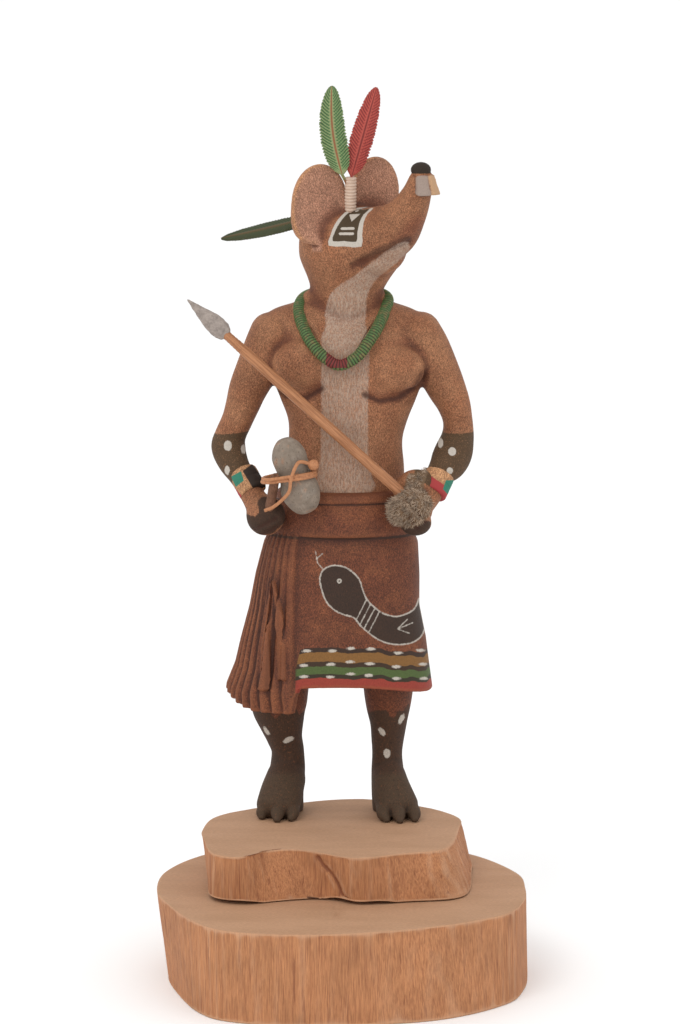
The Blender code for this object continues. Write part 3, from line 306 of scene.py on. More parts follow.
MOUTH = [(351.0, 264.0), (362.0, 258.6), (376.0, 252.0), (392.0, 246.0), (407.0, 240.0)]
MUZZLE = [(392.0, 246.0), (404.0, 226.0), (418.0, 214.0), (426.0, 222.0), (420.0, 236.0), (410.0, 243.0)]
GLUE = [((341.6, 209.0), (4.6, 3.0)), ((361.8, 204.0), (4.6, 3.4))]

# Paint on the arms
ARM_LINE = 164.6
FIST_PAINT = [
    (257.6, 502.0), (262.0, 497.0), (270.0, 497.0), (281.0, 503.0), (288.0, 515.0), (276.0, 531.0),
    (262.0, 535.0), (250.0, 528.0), (244.0, 514.0), (255.0, 516.6), (258.6, 511.0),
]
HEEL_PAINT = [(402.0, 522.0), (414.0, 526.0), (426.0, 521.0), (431.0, 524.0), (424.0, 540.0), (404.0, 540.0)]
FUR_PAINT = [
    (387.0, 510.0), (390.0, 499.0), (400.0, 492.0), (405.0, 485.0), (408.0, 474.0), (417.0, 473.0),
    (424.0, 468.0), (432.0, 464.0), (424.0, 483.0), (427.0, 492.0), (433.0, 503.0), (427.0, 519.0),
    (412.0, 528.0), (393.0, 523.0),
]
WHITE_DOTS = [
    ((227.8, 445.6), (4.0, 5.2)), ((227.2, 470.2), (2.6, 4.6)), ((243.6, 449.0), (2.6, 4.6)),
    ((452.2, 451.4), (3.9, 4.2)), ((449.8, 470.6), (3.2, 3.3)), ((440.6, 443.0), (2.6, 5.0)),
]
LEG_DOTS = [
    ((266.4, 731.0), (1.9, 4.8), -35.0), ((288.6, 739.8), (2.6, 5.8), 66.0),
    ((401.4, 719.2), (2.3, 5.2), 26.0), ((381.8, 731.6), (2.6, 4.8), -34.0),
    ((387.0, 753.4), (3.4, 4.7), 0.0),
]
LEG_LINE = 45.6

# Millimetres round the kilt for each degree, at its pleats' edge and at its hem, and once round the hem
EDGE_ARC, HEM_ARC, HEM_ROUND = 0.62, 0.645, 232.2

# The painted serpent on the kilt
SERPENT = [
    (363.2, 591.6), (359.5, 579.9), (351.4, 571.1), (342.6, 566.4), (332.4, 565.6), (323.6, 569.6),
    (319.9, 577.4), (321.4, 588.7), (326.5, 601.9), (335.3, 610.7), (345.6, 615.1), (353.8, 617.6),
    (359.5, 624.4), (369.0, 633.0), (377.8, 639.3), (389.6, 643.7), (402.8, 644.4), (414.5, 641.5),
    (422.6, 634.0), (426.0, 618.0), (420.4, 598.0), (416.0, 606.3), (410.1, 612.1), (396.9, 616.5),
    (383.7, 613.6), (374.9, 607.7), (367.6, 600.4),
]
SERPENT_BARS = [
    [(366.1, 600.4), (357.3, 618.0)], [(370.5, 604.1), (360.4, 623.9)], [(374.9, 608.2), (364.6, 627.6)],
    [(379.3, 611.6), (369.0, 632.0)],
]
SERPENT_MARKS = [
    [(397.6, 629.0), (407.2, 619.5)], [(397.6, 629.0), (412.7, 622.7)], [(397.6, 629.0), (409.4, 633.2)],
    [(322.8, 568.9), (317.7, 563.0), (316.5, 558.6)], [(316.5, 558.6), (315.6, 551.0)],
    [(316.5, 558.6), (322.8, 553.6)],
]
SERPENT_EYE = (339.4, 581.0)
OUTLINE_HALF = 0.75
MARK_HALF = 0.55

# The hem's bands, in millimetres above its edge, and the white dashes on its dark lines
HEM_OVERRUN = -1.2
HEM_RED, HEM_LINE_3, HEM_GREEN, HEM_LINE_2, HEM_OCHRE, HEM_LINE_1 = 4.1, 5.8, 9.0, 10.9, 15.0, 16.8
FRONT_DASHES = [
    (306.7, 651.0), (332.4, 651.0), (350.7, 648.5), (370.5, 649.1), (398.4, 652.9), (420.4, 650.3),
    (303.7, 665.7), (330.9, 664.2), (350.0, 662.0), (369.8, 663.8), (396.2, 666.7), (422.6, 664.2),
    (304.2, 676.7), (330.2, 677.0), (350.7, 674.0), (368.3, 675.5), (396.9, 678.5), (424.0, 678.5),
]
FRONT_DASH_RADII = (4.2, 1.5)
DASH_PITCH = 9.6
DASH_HALF = (1.8, 0.62)
KILT_EDGE = [(304.5, 559.0), (308.9, 603.3), (303.6, 632.7), (300.0, 651.0), (295.6, 670.0), (295.2, 690.0)]

# Knife cuts in the front view, as path in the figure's x and z, width and depth
CUTS = [
    ([(-27.5, 182.6), (-23.0, 180.4), (-15.0, 180.2), (-8.4, 184.6)], 1.9, 1.2),
    ([(33.6, 190.5), (30.4, 184.0), (24.0, 180.2), (16.0, 179.4), (10.0, 182.2)], 1.9, 1.2),
    ([(4.6, 235.4), (14.0, 239.6), (22.0, 243.2), (29.0, 246.6)], 1.7, 0.9),
    ([(24.6, 139.0), (31.6, 128.0)], 1.1, 0.8),
    ([(27.6, 141.0), (35.0, 130.6)], 1.1, 0.8),
    ([(-27.0, 131.6), (-36.0, 126.4)], 1.1, 0.8),
    ([(-26.6, 127.4), (-33.0, 124.0)], 1.1, 0.8),
]
SASH_ENDS = [
    ([(-29.2, 104.0), (-33.6, 76.0), (-34.6, 58.0)], [(-28.6, 104.0), (-30.2, 90.0), (-29.6, 57.6)]),
    ([(-28.6, 104.0), (-26.8, 82.0), (-26.6, 62.8)], [(-28.0, 104.0), (-24.0, 88.0), (-23.0, 62.6)]),
]
SASH_RAISE = 1.4


# Marks of the slabs in the front view: painted shadow in the gaps below, a star of cracks, a slanting crease
GAP_SHADOWS = [[(322.0, 899.0), (330.0, 900.4)], [(344.0, 902.6), (366.0, 903.4), (389.0, 902.0)],
        [(308.0, 897.4), (318.0, 898.6)]]
STAR_CRACK = [[(331.0, 913.0), (343.0, 911.0)], [(335.0, 908.6), (339.4, 917.0)],
              [(340.0, 907.4), (334.4, 916.4)]]
SLAB_CREASE = [(318.0, 858.0), (322.0, 866.0), (330.0, 874.0), (336.0, 884.0), (340.0, 894.0), (345.0, 900.0)]

# Bands painted on the bracelets, in the front view
CUFF_RED_RIGHT = [(224.0, 478.0), (229.6, 481.6), (237.0, 490.0), (245.4, 500.4), (240.0, 506.0),
                  (226.0, 490.0)]
CUFF_BLUE_RIGHT = [(230.7, 476.8), (240.9, 471.1), (243.8, 480.4), (235.9, 487.0)]
CUFF_BROWN_RIGHT = [(242.6, 471.0), (252.0, 464.0), (270.0, 486.0), (254.0, 490.0)]
CUFF_RED_LEFT = [(425.0, 472.0), (449.0, 488.0), (446.0, 510.0), (412.0, 486.0)]
CUFF_BLUE_LEFT = [(446.0, 480.4), (454.0, 480.0), (454.0, 490.0), (448.6, 495.0), (442.8, 489.2)]
CUFF_WHITE_LEFT = [((424.2, 482.6), (1.8, 2.2))]


# Shape tools

def curve_through(stations, steps, closed=False):
    """Points of a smooth curve through the stations; every value of a station is carried along."""
    s = np.array(stations, float)
    if closed:
        padded = np.vstack([s[-1], s, s[0], s[1]])
    else:
        padded = np.vstack([2 * s[0] - s[1], s, 2 * s[-1] - s[-2]])
    points = []
    for a, b, c, d in zip(padded[:-3], padded[1:-2], padded[2:-1], padded[3:]):
        for t in np.arange(steps) / steps:
            points.append(0.5 * (2 * b + (c - a) * t + (2 * a - 5 * b + 4 * c - d) * t**2
                                 + (3 * b - a - 3 * c + d) * t**3))
    if not closed:
        points.append(s[-1])
    return np.array(points)


def smooth_step(low, high, value):
    t = np.clip((value - low) / (high - low), 0.0, 1.0)
    return t * t * (3 - 2 * t)


def skin(bm, rings, closed=False):
    """Joins rings of equally many points into one closed surface, with a fan over each open end."""
    rows = [[bm.verts.new(Vector(p) * MM) for p in ring] for ring in rings]
    pairs = list(zip(rows, rows[1:]))
    if closed:
        pairs.append((rows[-1], rows[0]))
    for low, high in pairs:
        for i in range(len(low)):
            j = (i + 1) % len(low)
            bm.faces.new((low[i], low[j], high[j], high[i]))
    if not closed:
        for row in (rows[0], rows[-1]):
            hub = bm.verts.new(sum((v.co for v in row), Vector()) / len(row))
            for i in range(len(row)):
                bm.faces.new((row[i], row[(i + 1) % len(row)], hub))


def cross_ring(centre, side, depth, half_width, half_depth, sides):
    angles = np.arange(sides) * 2 * math.pi / sides
    return [centre + side * (half_width * math.cos(a)) + depth * (half_depth * math.sin(a)) for a in angles]


def limb(bm, stations, steps=10, sides=56, front=(0, -1, 0), level=False, rounding=0.8):
    """A smooth tapering limb with an oval section, level or across its line, and round ends."""
    line = curve_through(stations, steps)
    rings = []
    last = len(line) - 1
    for i, (x, y, z, half_width, half_depth) in enumerate(line):
        along = Vector(line[min(i + 1, last)][:3] - line[max(i - 1, 0)][:3]).normalized()
        if level:
            along = Vector((0, 0, 1))
        side = along.cross(Vector(front)).normalized()
        depth = side.cross(along)
        centre = Vector((x, y, z))
        caps = []
        if i in (0, last):
            outward = along if i == last else -along
            reach = rounding * min(half_width, half_depth)
            for lift in (20.0, 38.0, 54.0, 68.0, 80.0):
                a = math.radians(lift)
                caps.append(cross_ring(centre + outward * (reach * math.sin(a)), side, depth,
                                       half_width * math.cos(a), half_depth * math.cos(a), sides))
        if i == 0:
            rings.extend(reversed(caps))
        rings.append(cross_ring(centre, side, depth, half_width, half_depth, sides))
        if i == last:
            rings.extend(caps)
    skin(bm, rings)


def ball(bm, centre, half_sizes):
    place = Matrix.Translation(Vector(centre) * MM) @ Matrix.Diagonal((*(Vector(half_sizes) * MM), 1))
    bmesh.ops.create_uvsphere(bm, u_segments=48, v_segments=28, radius=1, matrix=place)


def tooth(bm, root, edge, turn):
    """A flat wedge that widens from its root to its edge."""
    a = math.radians(turn)
    side, depth = Vector((math.cos(a), math.sin(a), 0)), Vector((-math.sin(a), math.cos(a), 0))
    rings = []
    for middle, (wide, thick) in ((root, TOOTH_ROOT), (edge, TOOTH_EDGE)):
        corners = ((1, 1), (-1, 1), (-1, -1), (1, -1))
        rings.append([Vector(middle) + side * (wide * u) + depth * (thick * v) for u, v in corners])
    skin(bm, rings)


def ear_axes():
    a, b, roll = (math.radians(angle) for angle in (EAR_TURN, EAR_LEAN, EAR_ROLL))
    level = Vector((math.cos(a), math.sin(a), 0))
    back = Vector((-math.sin(a), math.cos(a), 0))
    rise = Vector((0, 0, 1)) * math.cos(b) + back * math.sin(b)
    side = level * math.cos(roll) - rise * math.sin(roll)
    up = rise * math.cos(roll) + level * math.sin(roll)
    return side, up, side.cross(up)


def ear_outline(t):
    """A point of the ear's outline, as shares of its half width and half height."""
    u, v = math.cos(t), math.sin(t)
    if v > 0:
        return u * (1 + EAR_TAPER * v), v
    return (math.copysign(abs(u) ** EAR_LOWER_CORNER, u),
            math.copysign(abs(v) ** EAR_LOWER_CORNER, v) * EAR_LOWER_SHARE)


def ear(bm, centre, half_width, half_height, sides=96):
    """A flat ear, round above and squarer below, leaning back, with its edges rounded."""
    side, up, depth = ear_axes()
    half = EAR_THICKNESS / 2
    rings = []
    for lift in np.radians([-90, -60, -30, 0, 30, 60, 90]):
        inset = EAR_ROUNDING * (1 - math.cos(lift))
        away = (half - EAR_ROUNDING) * np.sign(lift) + EAR_ROUNDING * math.sin(lift)
        ring = []
        for t in np.arange(sides) * 2 * math.pi / sides:
            u, v = ear_outline(t)
            ring.append(Vector(centre) + depth * away + side * ((half_width - inset) * u)
                        + up * ((half_height - inset) * v))
        rings.append(ring)
    skin(bm, rings)


def tube(bm, points, radius, sides=20, closed=False):
    """A round cord through the points, as they come."""
    line = [Vector(p) for p in points]
    count = len(line)
    rings = []
    for i, centre in enumerate(line):
        before = line[(i - 1) % count] if closed else line[max(i - 1, 0)]
        after = line[(i + 1) % count] if closed else line[min(i + 1, count - 1)]
        along = (after - before).normalized()
        side = along.cross(Vector((0.1, 0.2, 1))).normalized()
        rings.append(cross_ring(centre, side, side.cross(along), radius, radius, sides))
    skin(bm, rings, closed)


def turned(bm, start, end, profile, sides=48, flatness=1.0, front=(0, -1, 0)):
    """A turned piece from start to end; the profile gives shares of the way and radii."""
    a, b = Vector(start), Vector(end)
    along = (b - a).normalized()
    side = along.cross(Vector(front)).normalized()
    depth = side.cross(along)
    skin(bm, [cross_ring(a.lerp(b, share), side, depth, radius, radius * flatness, sides)
              for share, radius in profile])


def place_of(point):
    return GROUND + Vector(point)


# Objects

def mesh_object(name, bm):
    """A new object from the shapes in bm, all with their faces pointing out."""
    bmesh.ops.recalc_face_normals(bm, faces=bm.faces)
    mesh = bpy.data.meshes.new(name)
    bm.to_mesh(mesh)
    bm.free()
    mesh.shade_smooth()
    obj = bpy.data.objects.new(name, mesh)
    bpy.context.scene.collection.objects.link(obj)
    return obj


def add_modifier(obj, kind, **settings):
    modifier = obj.modifiers.new(kind.title(), kind)
    for key, value in settings.items():
        setattr(modifier, key, value)
    return modifier


def settle(obj):
    """Replaces the object's mesh with what its modifiers make of it."""
    graph = bpy.context.evaluated_depsgraph_get()
    mesh = bpy.data.meshes.new_from_object(obj.evaluated_get(graph))
    old = obj.data
    obj.modifiers.clear()
    obj.data = mesh
    mesh.shade_smooth()
    bpy.data.meshes.remove(old)


def remesh(obj, voxel, passes):
    """Joins all shapes of the object into one skin and softens it."""
    add_modifier(obj, "REMESH", mode="VOXEL", voxel_size=voxel * MM)
    add_modifier(obj, "SMOOTH", factor=0.5, iterations=passes)
    settle(obj)


def points_of(mesh):
    """The mesh's vertices in millimetres, and their normals."""
    count = len(mesh.vertices)
    points = np.empty(count * 3, np.float32)
    normals = np.empty(count * 3, np.float32)
    mesh.vertices.foreach_get("co", points)
    mesh.vertex_normals.foreach_get("vector", normals)
    return points.reshape(-1, 3).astype(float) / MM, normals.reshape(-1, 3).astype(float)


def move_points(mesh, points):
    mesh.vertices.foreach_set("co", (points * MM).astype(np.float32).ravel())
    mesh.update()


def blend_passes(voxel):
    return round((BLEND_LENGTH / voxel) ** 2)


def join_forms(name, soft_maker, crisp_maker, voxel, crisp_passes=2):
    """Rounds the soft forms into each other, then adds the forms that keep a clear edge."""
    soft = bmesh.new()
    soft_maker(soft)
    obj = mesh_object(name, soft)
    remesh(obj, voxel, blend_passes(voxel))
    crisp = bmesh.new()
    crisp.from_mesh(obj.data)
    bpy.data.objects.remove(obj)
    crisp_maker(crisp)
    obj = mesh_object(name, crisp)
    remesh(obj, voxel, crisp_passes)
    return obj


# Fields over a surface: distances are positive inside, in millimetres

def in_picture(points):
    """Where points of the part are seen in the picture, in pixels."""
    a = math.radians(CAMERA_DOWN)
    away = points - np.array(CAMERA_AT)
    ahead = away @ np.array((0, math.cos(a), -math.sin(a)))
    up = away @ np.array((0, math.sin(a), math.cos(a)))
    focal = LENS / SENSOR * PICTURE_HEIGHT
    return np.column_stack([PICTURE_WIDTH / 2 + focal * away[:, 0] / ahead,
                            PICTURE_HEIGHT / 2 - focal * up / ahead])


def line_distance(points, path):
    """How far points of the plane lie from a broken line."""
    nearest = np.full(len(points), 1e9)
    for a, b in zip(np.array(path[:-1], float), np.array(path[1:], float)):
        run = b - a
        t = np.clip(((points - a) @ run) / (run @ run), 0, 1)
        nearest = np.minimum(nearest, np.linalg.norm(points - a - t[:, None] * run, axis=1))
    return nearest


def patch(points, outline, steps=3):
    """Signed distance from a closed outline with softly rounded corners."""
    path = curve_through(outline, steps, closed=True) if steps > 1 else np.array(outline, float)
    loop = np.vstack([path, path[:1]])
    inside = np.zeros(len(points), bool)
    x, y = points.T
    for (x0, y0), (x1, y1) in zip(loop[:-1], loop[1:]):
        crosses = (y0 > y) != (y1 > y)
        at = x0 + (y - y0) * (x1 - x0) / (y1 - y0 if y1 != y0 else 1e-9)
        inside ^= crosses & (x < at)
    distance = line_distance(points, loop)
    return np.where(inside, distance, -distance) * PIXEL


def stroke(points, path, half_width):
    return (half_width - line_distance(points, path)) * PIXEL


def spot(points, centre, radii, turn=0.0):
    """Signed distance from an oval, turned clockwise by so many degrees."""
    a = math.radians(turn)
    away = points - np.array(centre)
    across = away @ np.array((math.cos(a), math.sin(a)))
    along = away @ np.array((-math.sin(a), math.cos(a)))
    return (1 - np.hypot(across / radii[0], along / radii[1])) * min(radii) * PIXEL


def lump(points, centre, half_sizes):
    """Signed distance from an oval body in the figure's own frame."""
    away = (points - np.array(place_of(centre))) / np.array(half_sizes)
    return (1 - np.linalg.norm(away, axis=1)) * min(half_sizes)


def together(*fields):
    return np.maximum.reduce(fields)


def in_front(distance, normals, edge=0.12):
    """Keeps paint off surfaces that face away from the front."""
    return np.minimum(distance, (-normals[:, 1] - edge) * 4.0)


def store(mesh, name, values):
    layer = mesh.attributes.new(name, "FLOAT", "POINT")
    layer.data.foreach_set("value", np.asarray(values, np.float32))


def hollowness(mesh, passes=3):
    """How far each point lies below its neighbours: creases positive, ridges negative."""
    points, normals = points_of(mesh)
    edges = np.empty(len(mesh.edges) * 2, np.int32)
    mesh.edges.foreach_get("vertices", edges)
    a, b = edges.reshape(-1, 2).T
    count = len(points)
    degree = np.maximum(np.bincount(a, minlength=count) + np.bincount(b, minlength=count), 1)

    def average(values):
        return (np.bincount(a, values[b], count) + np.bincount(b, values[a], count)) / degree

    wide = points
    for _ in range(passes * 3):
        wide = np.column_stack([average(column) for column in wide.T])
    lift = np.einsum("ij,ij->i", wide - points, normals)
    for _ in range(passes):
        lift = average(lift)
    return lift


def relief(mesh):
    """Stores the narrow creases and the wide hollows of a carved piece."""
    store(mesh, "hollow", hollowness(mesh))
    store(mesh, "cove", hollowness(mesh, 22))


def views(mesh):
    """The mesh's points, their normals, where they are seen, and the points in the figure's own frame."""
    relief(mesh)
    points, normals = points_of(mesh)
    return points, normals, in_picture(points), points - np.array(GROUND)


def ripple(points, lengths, seed, octaves=3):
    """A soft random field made of sine waves of the given lengths in x, y and z."""
    draw = np.random.default_rng(seed)
    total = np.zeros(len(points))
    for octave in range(octaves):
        for _ in range(5):
            wave = draw.normal(size=3) * 2 * math.pi / np.array(lengths) * 1.7**octave * 0.6
            total += np.sin(points @ wave + draw.uniform(0, 2 * math.pi)) / 1.7**octave / 5
    return total


# Nodes of materials

def link_or_set(tree, socket, value):
    if isinstance(value, bpy.types.NodeSocket):
        tree.links.new(value, socket)
    else:
        socket.default_value = value


def add_node(tree, kind, inputs=None, **settings):
    made = tree.nodes.new(kind)
    for key, value in settings.items():
        setattr(made, key, value)
    for key, value in (inputs or {}).items():
        link_or_set(tree, made.inputs[key], value)
    return made


def calc(tree, operation, a, b=0.0, c=0.0):
    return add_node(tree, "ShaderNodeMath", {0: a, 1: b, 2: c}, operation=operation).outputs[0]


def blend(tree, share, a, b, kind="MIX"):
    made = add_node(tree, "ShaderNodeMix", {0: share, 6: a, 7: b}, data_type="RGBA", blend_type=kind)
    return made.outputs[2]


def ramp(tree, value, low, high, start=0.0, end=1.0):
    made = add_node(tree, "ShaderNodeMapRange", {0: value, 1: low, 2: high, 3: start, 4: end},
                    interpolation_type="SMOOTHSTEP")
    return made.outputs[0]


def field(tree, name):
    return add_node(tree, "ShaderNodeAttribute", attribute_name=name).outputs["Fac"]


def noise(tree, place, scale, detail=3.0, roughness=0.55):
    made = add_node(tree, "ShaderNodeTexNoise", {"Vector": place, "Scale": scale, "Detail": detail,
                                                 "Roughness": roughness})
    return made.outputs["Fac"]


def stretched(tree, place, scale):
    return add_node(tree, "ShaderNodeMapping", {"Vector": place, "Scale": scale}).outputs[0]


def tone(name):
    """A named tone as a linear colour."""
    text = TONES[name].lstrip("#")
    values = [int(text[i:i + 2], 16) / 255 for i in (0, 2, 4)]
    return (*(v / 12.92 if v <= 0.04045 else ((v + 0.055) / 1.055) ** 2.4 for v in values), 1.0)


def grey(tree, value):
    return add_node(tree, "ShaderNodeCombineColor", {0: value, 1: value, 2: value}).outputs[0]


def effect_group(name, inputs, outputs, build):
    """A shader node group; build gets the tree and the input sockets, and gives back the output values."""
    tree = bpy.data.node_groups.new(name, "ShaderNodeTree")
    for title, kind, value in inputs:
        socket = tree.interface.new_socket(title, in_out="INPUT", socket_type=kind)
        if value is not None:
            socket.default_value = value
    for title, kind in outputs:
        tree.interface.new_socket(title, in_out="OUTPUT", socket_type=kind)
    start = tree.nodes.new("NodeGroupInput")
    end = tree.nodes.new("NodeGroupOutput")
    made = build(tree, {title: start.outputs[title] for title, _, _ in inputs})
    for (title, _), value in zip(outputs, made):
        tree.links.new(value, end.inputs[title])
    return tree


FLOAT, VECTOR = "NodeSocketFloat", "NodeSocketVector"


def build_grain(tree, given):
    """Long soft streaks, fine streaks and dark pores along the fibres."""
    place = add_node(tree, "ShaderNodeMapping",
                     {"Vector": given["Place"], "Scale": given["Stretch"]}).outputs[0]
    broad = noise(tree, place, 1.0, 4.0, 0.65)
    fine = noise(tree, place, 1.7, 3.0, 0.7)
    pores = ramp(tree, noise(tree, place, 1.15, 2.0, 0.5), 0.58, 0.68)
    return broad, fine, pores


def build_paint_edge(tree, given):
    """A hand-painted edge: a distance made ragged by two noises, with bare grains where the paint is thin."""
    coarse = calc(tree, "SUBTRACT", noise(tree, given["Place"], 700.0, 2.0), 0.5)
    small = calc(tree, "SUBTRACT", noise(tree, given["Place"], 2600.0, 2.0), 0.5)
    shift = calc(tree, "MULTIPLY", calc(tree, "ADD", coarse, calc(tree, "MULTIPLY", small, 0.8)),
                 given["Ragged"])
    edge = calc(tree, "ADD", given["Distance"], shift)
    soft = calc(tree, "DIVIDE", edge, given["Soft"])
    cover = ramp(tree, soft, -1.0, 1.0)
    bare = ramp(tree, noise(tree, given["Place"], 1900.0, 3.0, 0.7), given["Bare"],
                calc(tree, "ADD", given["Bare"], 0.08))
    return (calc(tree, "MULTIPLY", cover, calc(tree, "SUBTRACT", 1.0, calc(tree, "MULTIPLY", bare, 0.75))),)


def build_flecks(tree, given):
    """Small dark specks of stain that sat in the pores."""
    spots = noise(tree, stretched(tree, given["Place"], (1.0, 1.0, 0.55)), given["Scale"], 3.0, 0.6)
    return (ramp(tree, spots, given["Level"], calc(tree, "ADD", given["Level"], 0.07)),)


def build_crease_shade(tree, given):
    """Painted shade in creases, and painted highlight on ridges."""
    deep = ramp(tree, given["Hollow"], 0.01, given["Depth"])
    high = ramp(tree, calc(tree, "MULTIPLY", given["Hollow"], -1.0), 0.01, given["Depth"])
    return deep, high


GRAIN = effect_group("wood_grain", [("Place", VECTOR, None), ("Stretch", VECTOR, (1800.0, 1800.0, 160.0))],
                     [("Broad", FLOAT), ("Fine", FLOAT), ("Pores", FLOAT)], build_grain)
PAINT_EDGE = effect_group("paint_edge",
                          [("Distance", FLOAT, 0.0), ("Soft", FLOAT, 0.15), ("Ragged", FLOAT, 0.4),
                                         ("Bare", FLOAT, 0.7), ("Place", VECTOR, None)],
                          [("Cover", FLOAT)], build_paint_edge)
FLECKS = effect_group("stain_flecks",
                      [("Place", VECTOR, None), ("Scale", FLOAT, 1500.0), ("Level", FLOAT, 0.62)],
                      [("Mask", FLOAT)], build_flecks)
# Masks for painted shade in creases and painted highlight on ridges
CREASE_SHADE = effect_group("crease_shade_and_ridge_light", [("Hollow", FLOAT, 0.0), ("Depth", FLOAT, 0.25)],
                      [("Deep", FLOAT), ("High", FLOAT)], build_crease_shade)


def use_group(tree, group, **inputs):
    made = tree.nodes.new("ShaderNodeGroup")
    made.node_tree = group
    for key, value in inputs.items():
        link_or_set(tree, made.inputs[key], value)
    return made.outputs


class Finish:
    """One material, built up coat by coat on a stained or plain ground."""

    def __init__(self, name, light, dark, stretch=(1300.0, 1300.0, 280.0), roughness=0.72, streak_share=0.5):
        self.material = bpy.data.materials.new(name)
        self.material.use_nodes = True
        self.tree = self.material.node_tree
        self.shader = self.tree.nodes["Principled BSDF"]
        self.place = add_node(self.tree, "ShaderNodeTexCoord").outputs["Object"]
        grain = use_group(self.tree, GRAIN, Place=self.place, Stretch=stretch)
        self.broad, self.fine, self.pores = grain["Broad"], grain["Fine"], grain["Pores"]
        streaks = ramp(self.tree, self.broad, 0.4, 0.68, 0.0, streak_share)
        self.colour = blend(self.tree, streaks, tone(light), tone(dark))
        self.rough = roughness
        self.height = calc(self.tree, "MULTIPLY", self.fine, 0.5)

    def coat(self, cover, colour, roughness=None, share=1.0):
        """One coat of a tone where the cover mask lets it lie."""
        if share != 1.0:
            cover = calc(self.tree, "MULTIPLY", cover, share)
        self.colour = blend(self.tree, cover, self.colour,
                            tone(colour) if isinstance(colour, str) else colour)
        if roughness is not None:
            mixed = add_node(self.tree, "ShaderNodeMix", {0: cover, 2: self.rough, 3: roughness},
                             data_type="FLOAT")
            self.rough = mixed.outputs[0]

    def paint(self, attribute, colour, soft=0.15, ragged=0.35, bare=0.68, roughness=None, share=1.0):
        """A coat inside a stored outline."""
        cover = use_group(self.tree, PAINT_EDGE, Distance=field(self.tree, attribute), Soft=soft,
                          Ragged=ragged, Bare=bare,
                          Place=self.place)["Cover"]
        self.coat(cover, colour, roughness, share)

    def dry_paint(self, attribute, colour, share=0.8):
        """A thin coat dragged along the grain, which shows the wood in streaks."""
        cover = use_group(self.tree, PAINT_EDGE, Distance=field(self.tree, attribute), Soft=0.5, Ragged=1.2,
                          Bare=0.95, Place=self.place)["Cover"]
        dragged = ramp(self.tree, noise(self.tree, stretched(self.tree, self.place, (1700.0, 1700.0, 420.0)),
                                        1.0,
                                        3.0, 0.7), 0.30, 0.62, 1.0, 0.35)
        self.coat(calc(self.tree, "MULTIPLY", cover, dragged), colour, None, share)

    def shade(self, value, low, high, dark, light):
        """Multiplies the colour by a grey that runs from dark to light with the value."""
        level = grey(self.tree, ramp(self.tree, value, low, high, dark, light))
        self.colour = blend(self.tree, 1.0, self.colour, level, "MULTIPLY")

    def flecks(self, colour, scale=1500.0, level=0.62, share=0.7):
        mask = use_group(self.tree, FLECKS, Place=self.place, Scale=scale, Level=level)["Mask"]
        self.coat(mask, colour, None, share)

    def shade_hollows(self, dark, low=-0.12, high=0.35, share=0.65):
        """Painted shade that darkens the deeper places of the form."""
        self.coat(ramp(self.tree, field(self.tree, "cove"), low, high), dark, None, share)

    # Painted shade in the creases, and painted highlight on the ridges where a light tone is given
    def creases(self, dark, light=None, depth=0.25, share=0.8):
        made = use_group(self.tree, CREASE_SHADE, Hollow=field(self.tree, "hollow"), Depth=depth)
        self.coat(made["Deep"], dark, None, share)
        if light:
            self.coat(made["High"], light, None, share * 0.5)

    def done(self, bump=0.5, distance=0.0002):
        """Joins colour, roughness and relief to the shader."""
        link_or_set(self.tree, self.shader.inputs["Base Color"], self.colour)
        link_or_set(self.tree, self.shader.inputs["Roughness"], self.rough)
        relief = add_node(self.tree, "ShaderNodeBump", {"Strength": bump, "Distance": distance,
                                                        "Height": self.height})
        self.tree.links.new(relief.outputs[0], self.shader.inputs["Normal"])
        self.shader.inputs["Specular IOR Level"].default_value = 0.35
        return self.material


def dress(obj, material, node):
    """Gives a piece its finish and its place in the frame."""
    obj.data.materials.clear()
    obj.data.materials.append(material)
    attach(obj, "root")
    if node:
        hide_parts(node)


# Geometry nodes

def geometry_tree(name, inputs):
    tree = bpy.data.node_groups.new(name, "GeometryNodeTree")
    tree.interface.new_socket("Geometry", in_out="INPUT", socket_type="NodeSocketGeometry")
    for title, kind, value in inputs:
        socket = tree.interface.new_socket(title, in_out="INPUT", socket_type=kind)
        if value is not None:
            socket.default_value = value
    tree.interface.new_socket("Geometry", in_out="OUTPUT", socket_type="NodeSocketGeometry")
    start = tree.nodes.new("NodeGroupInput")
    return tree, start.outputs


def end_tree(tree, geometry, material):
    """Every tree ends with its instances made real and its material set."""
    real = add_node(tree, "GeometryNodeRealizeInstances", {"Geometry": geometry}).outputs[0]
    made = add_node(tree, "GeometryNodeSetMaterial", {"Geometry": real, "Material": material})
    end = tree.nodes.new("NodeGroupOutput")
    tree.links.new(made.outputs[0], end.inputs[0])


def grow(name, base, tree, **values):
    """Runs a tree on an object and gives back the result as a plain mesh object."""
    modifier = base.modifiers.new(name, "NODES")
    modifier.node_group = tree
    for item in tree.interface.items_tree:
        if item.item_type == "SOCKET" and item.in_out == "INPUT" and item.name in values:
            modifier[item.identifier] = values[item.name]
    graph = bpy.context.evaluated_depsgraph_get()
    mesh = bpy.data.meshes.new_from_object(base.evaluated_get(graph))
    mesh.materials.clear()
    mesh.materials.append(values["Material"])
    mesh.polygons.foreach_set("material_index", np.zeros(len(mesh.polygons), np.int32))
    base.modifiers.remove(modifier)
    obj = bpy.data.objects.new(name, mesh)
    bpy.context.scene.collection.objects.link(obj)
    return obj


def path_object(name, points, closed=False):
    """A curve object through the points, for a tree to work on."""
    curve = bpy.data.curves.new(name, "CURVE")
    curve.dimensions = "3D"
    spline = curve.splines.new("POLY")
    spline.points.add(len(points) - 1)
    for point, place in zip(spline.points, points):
        point.co = (*(Vector(place) * MM), 1.0)
    spline.use_cyclic_u = closed
    obj = bpy.data.objects.new(name, curve)
    bpy.context.scene.collection.objects.link(obj)
    return obj


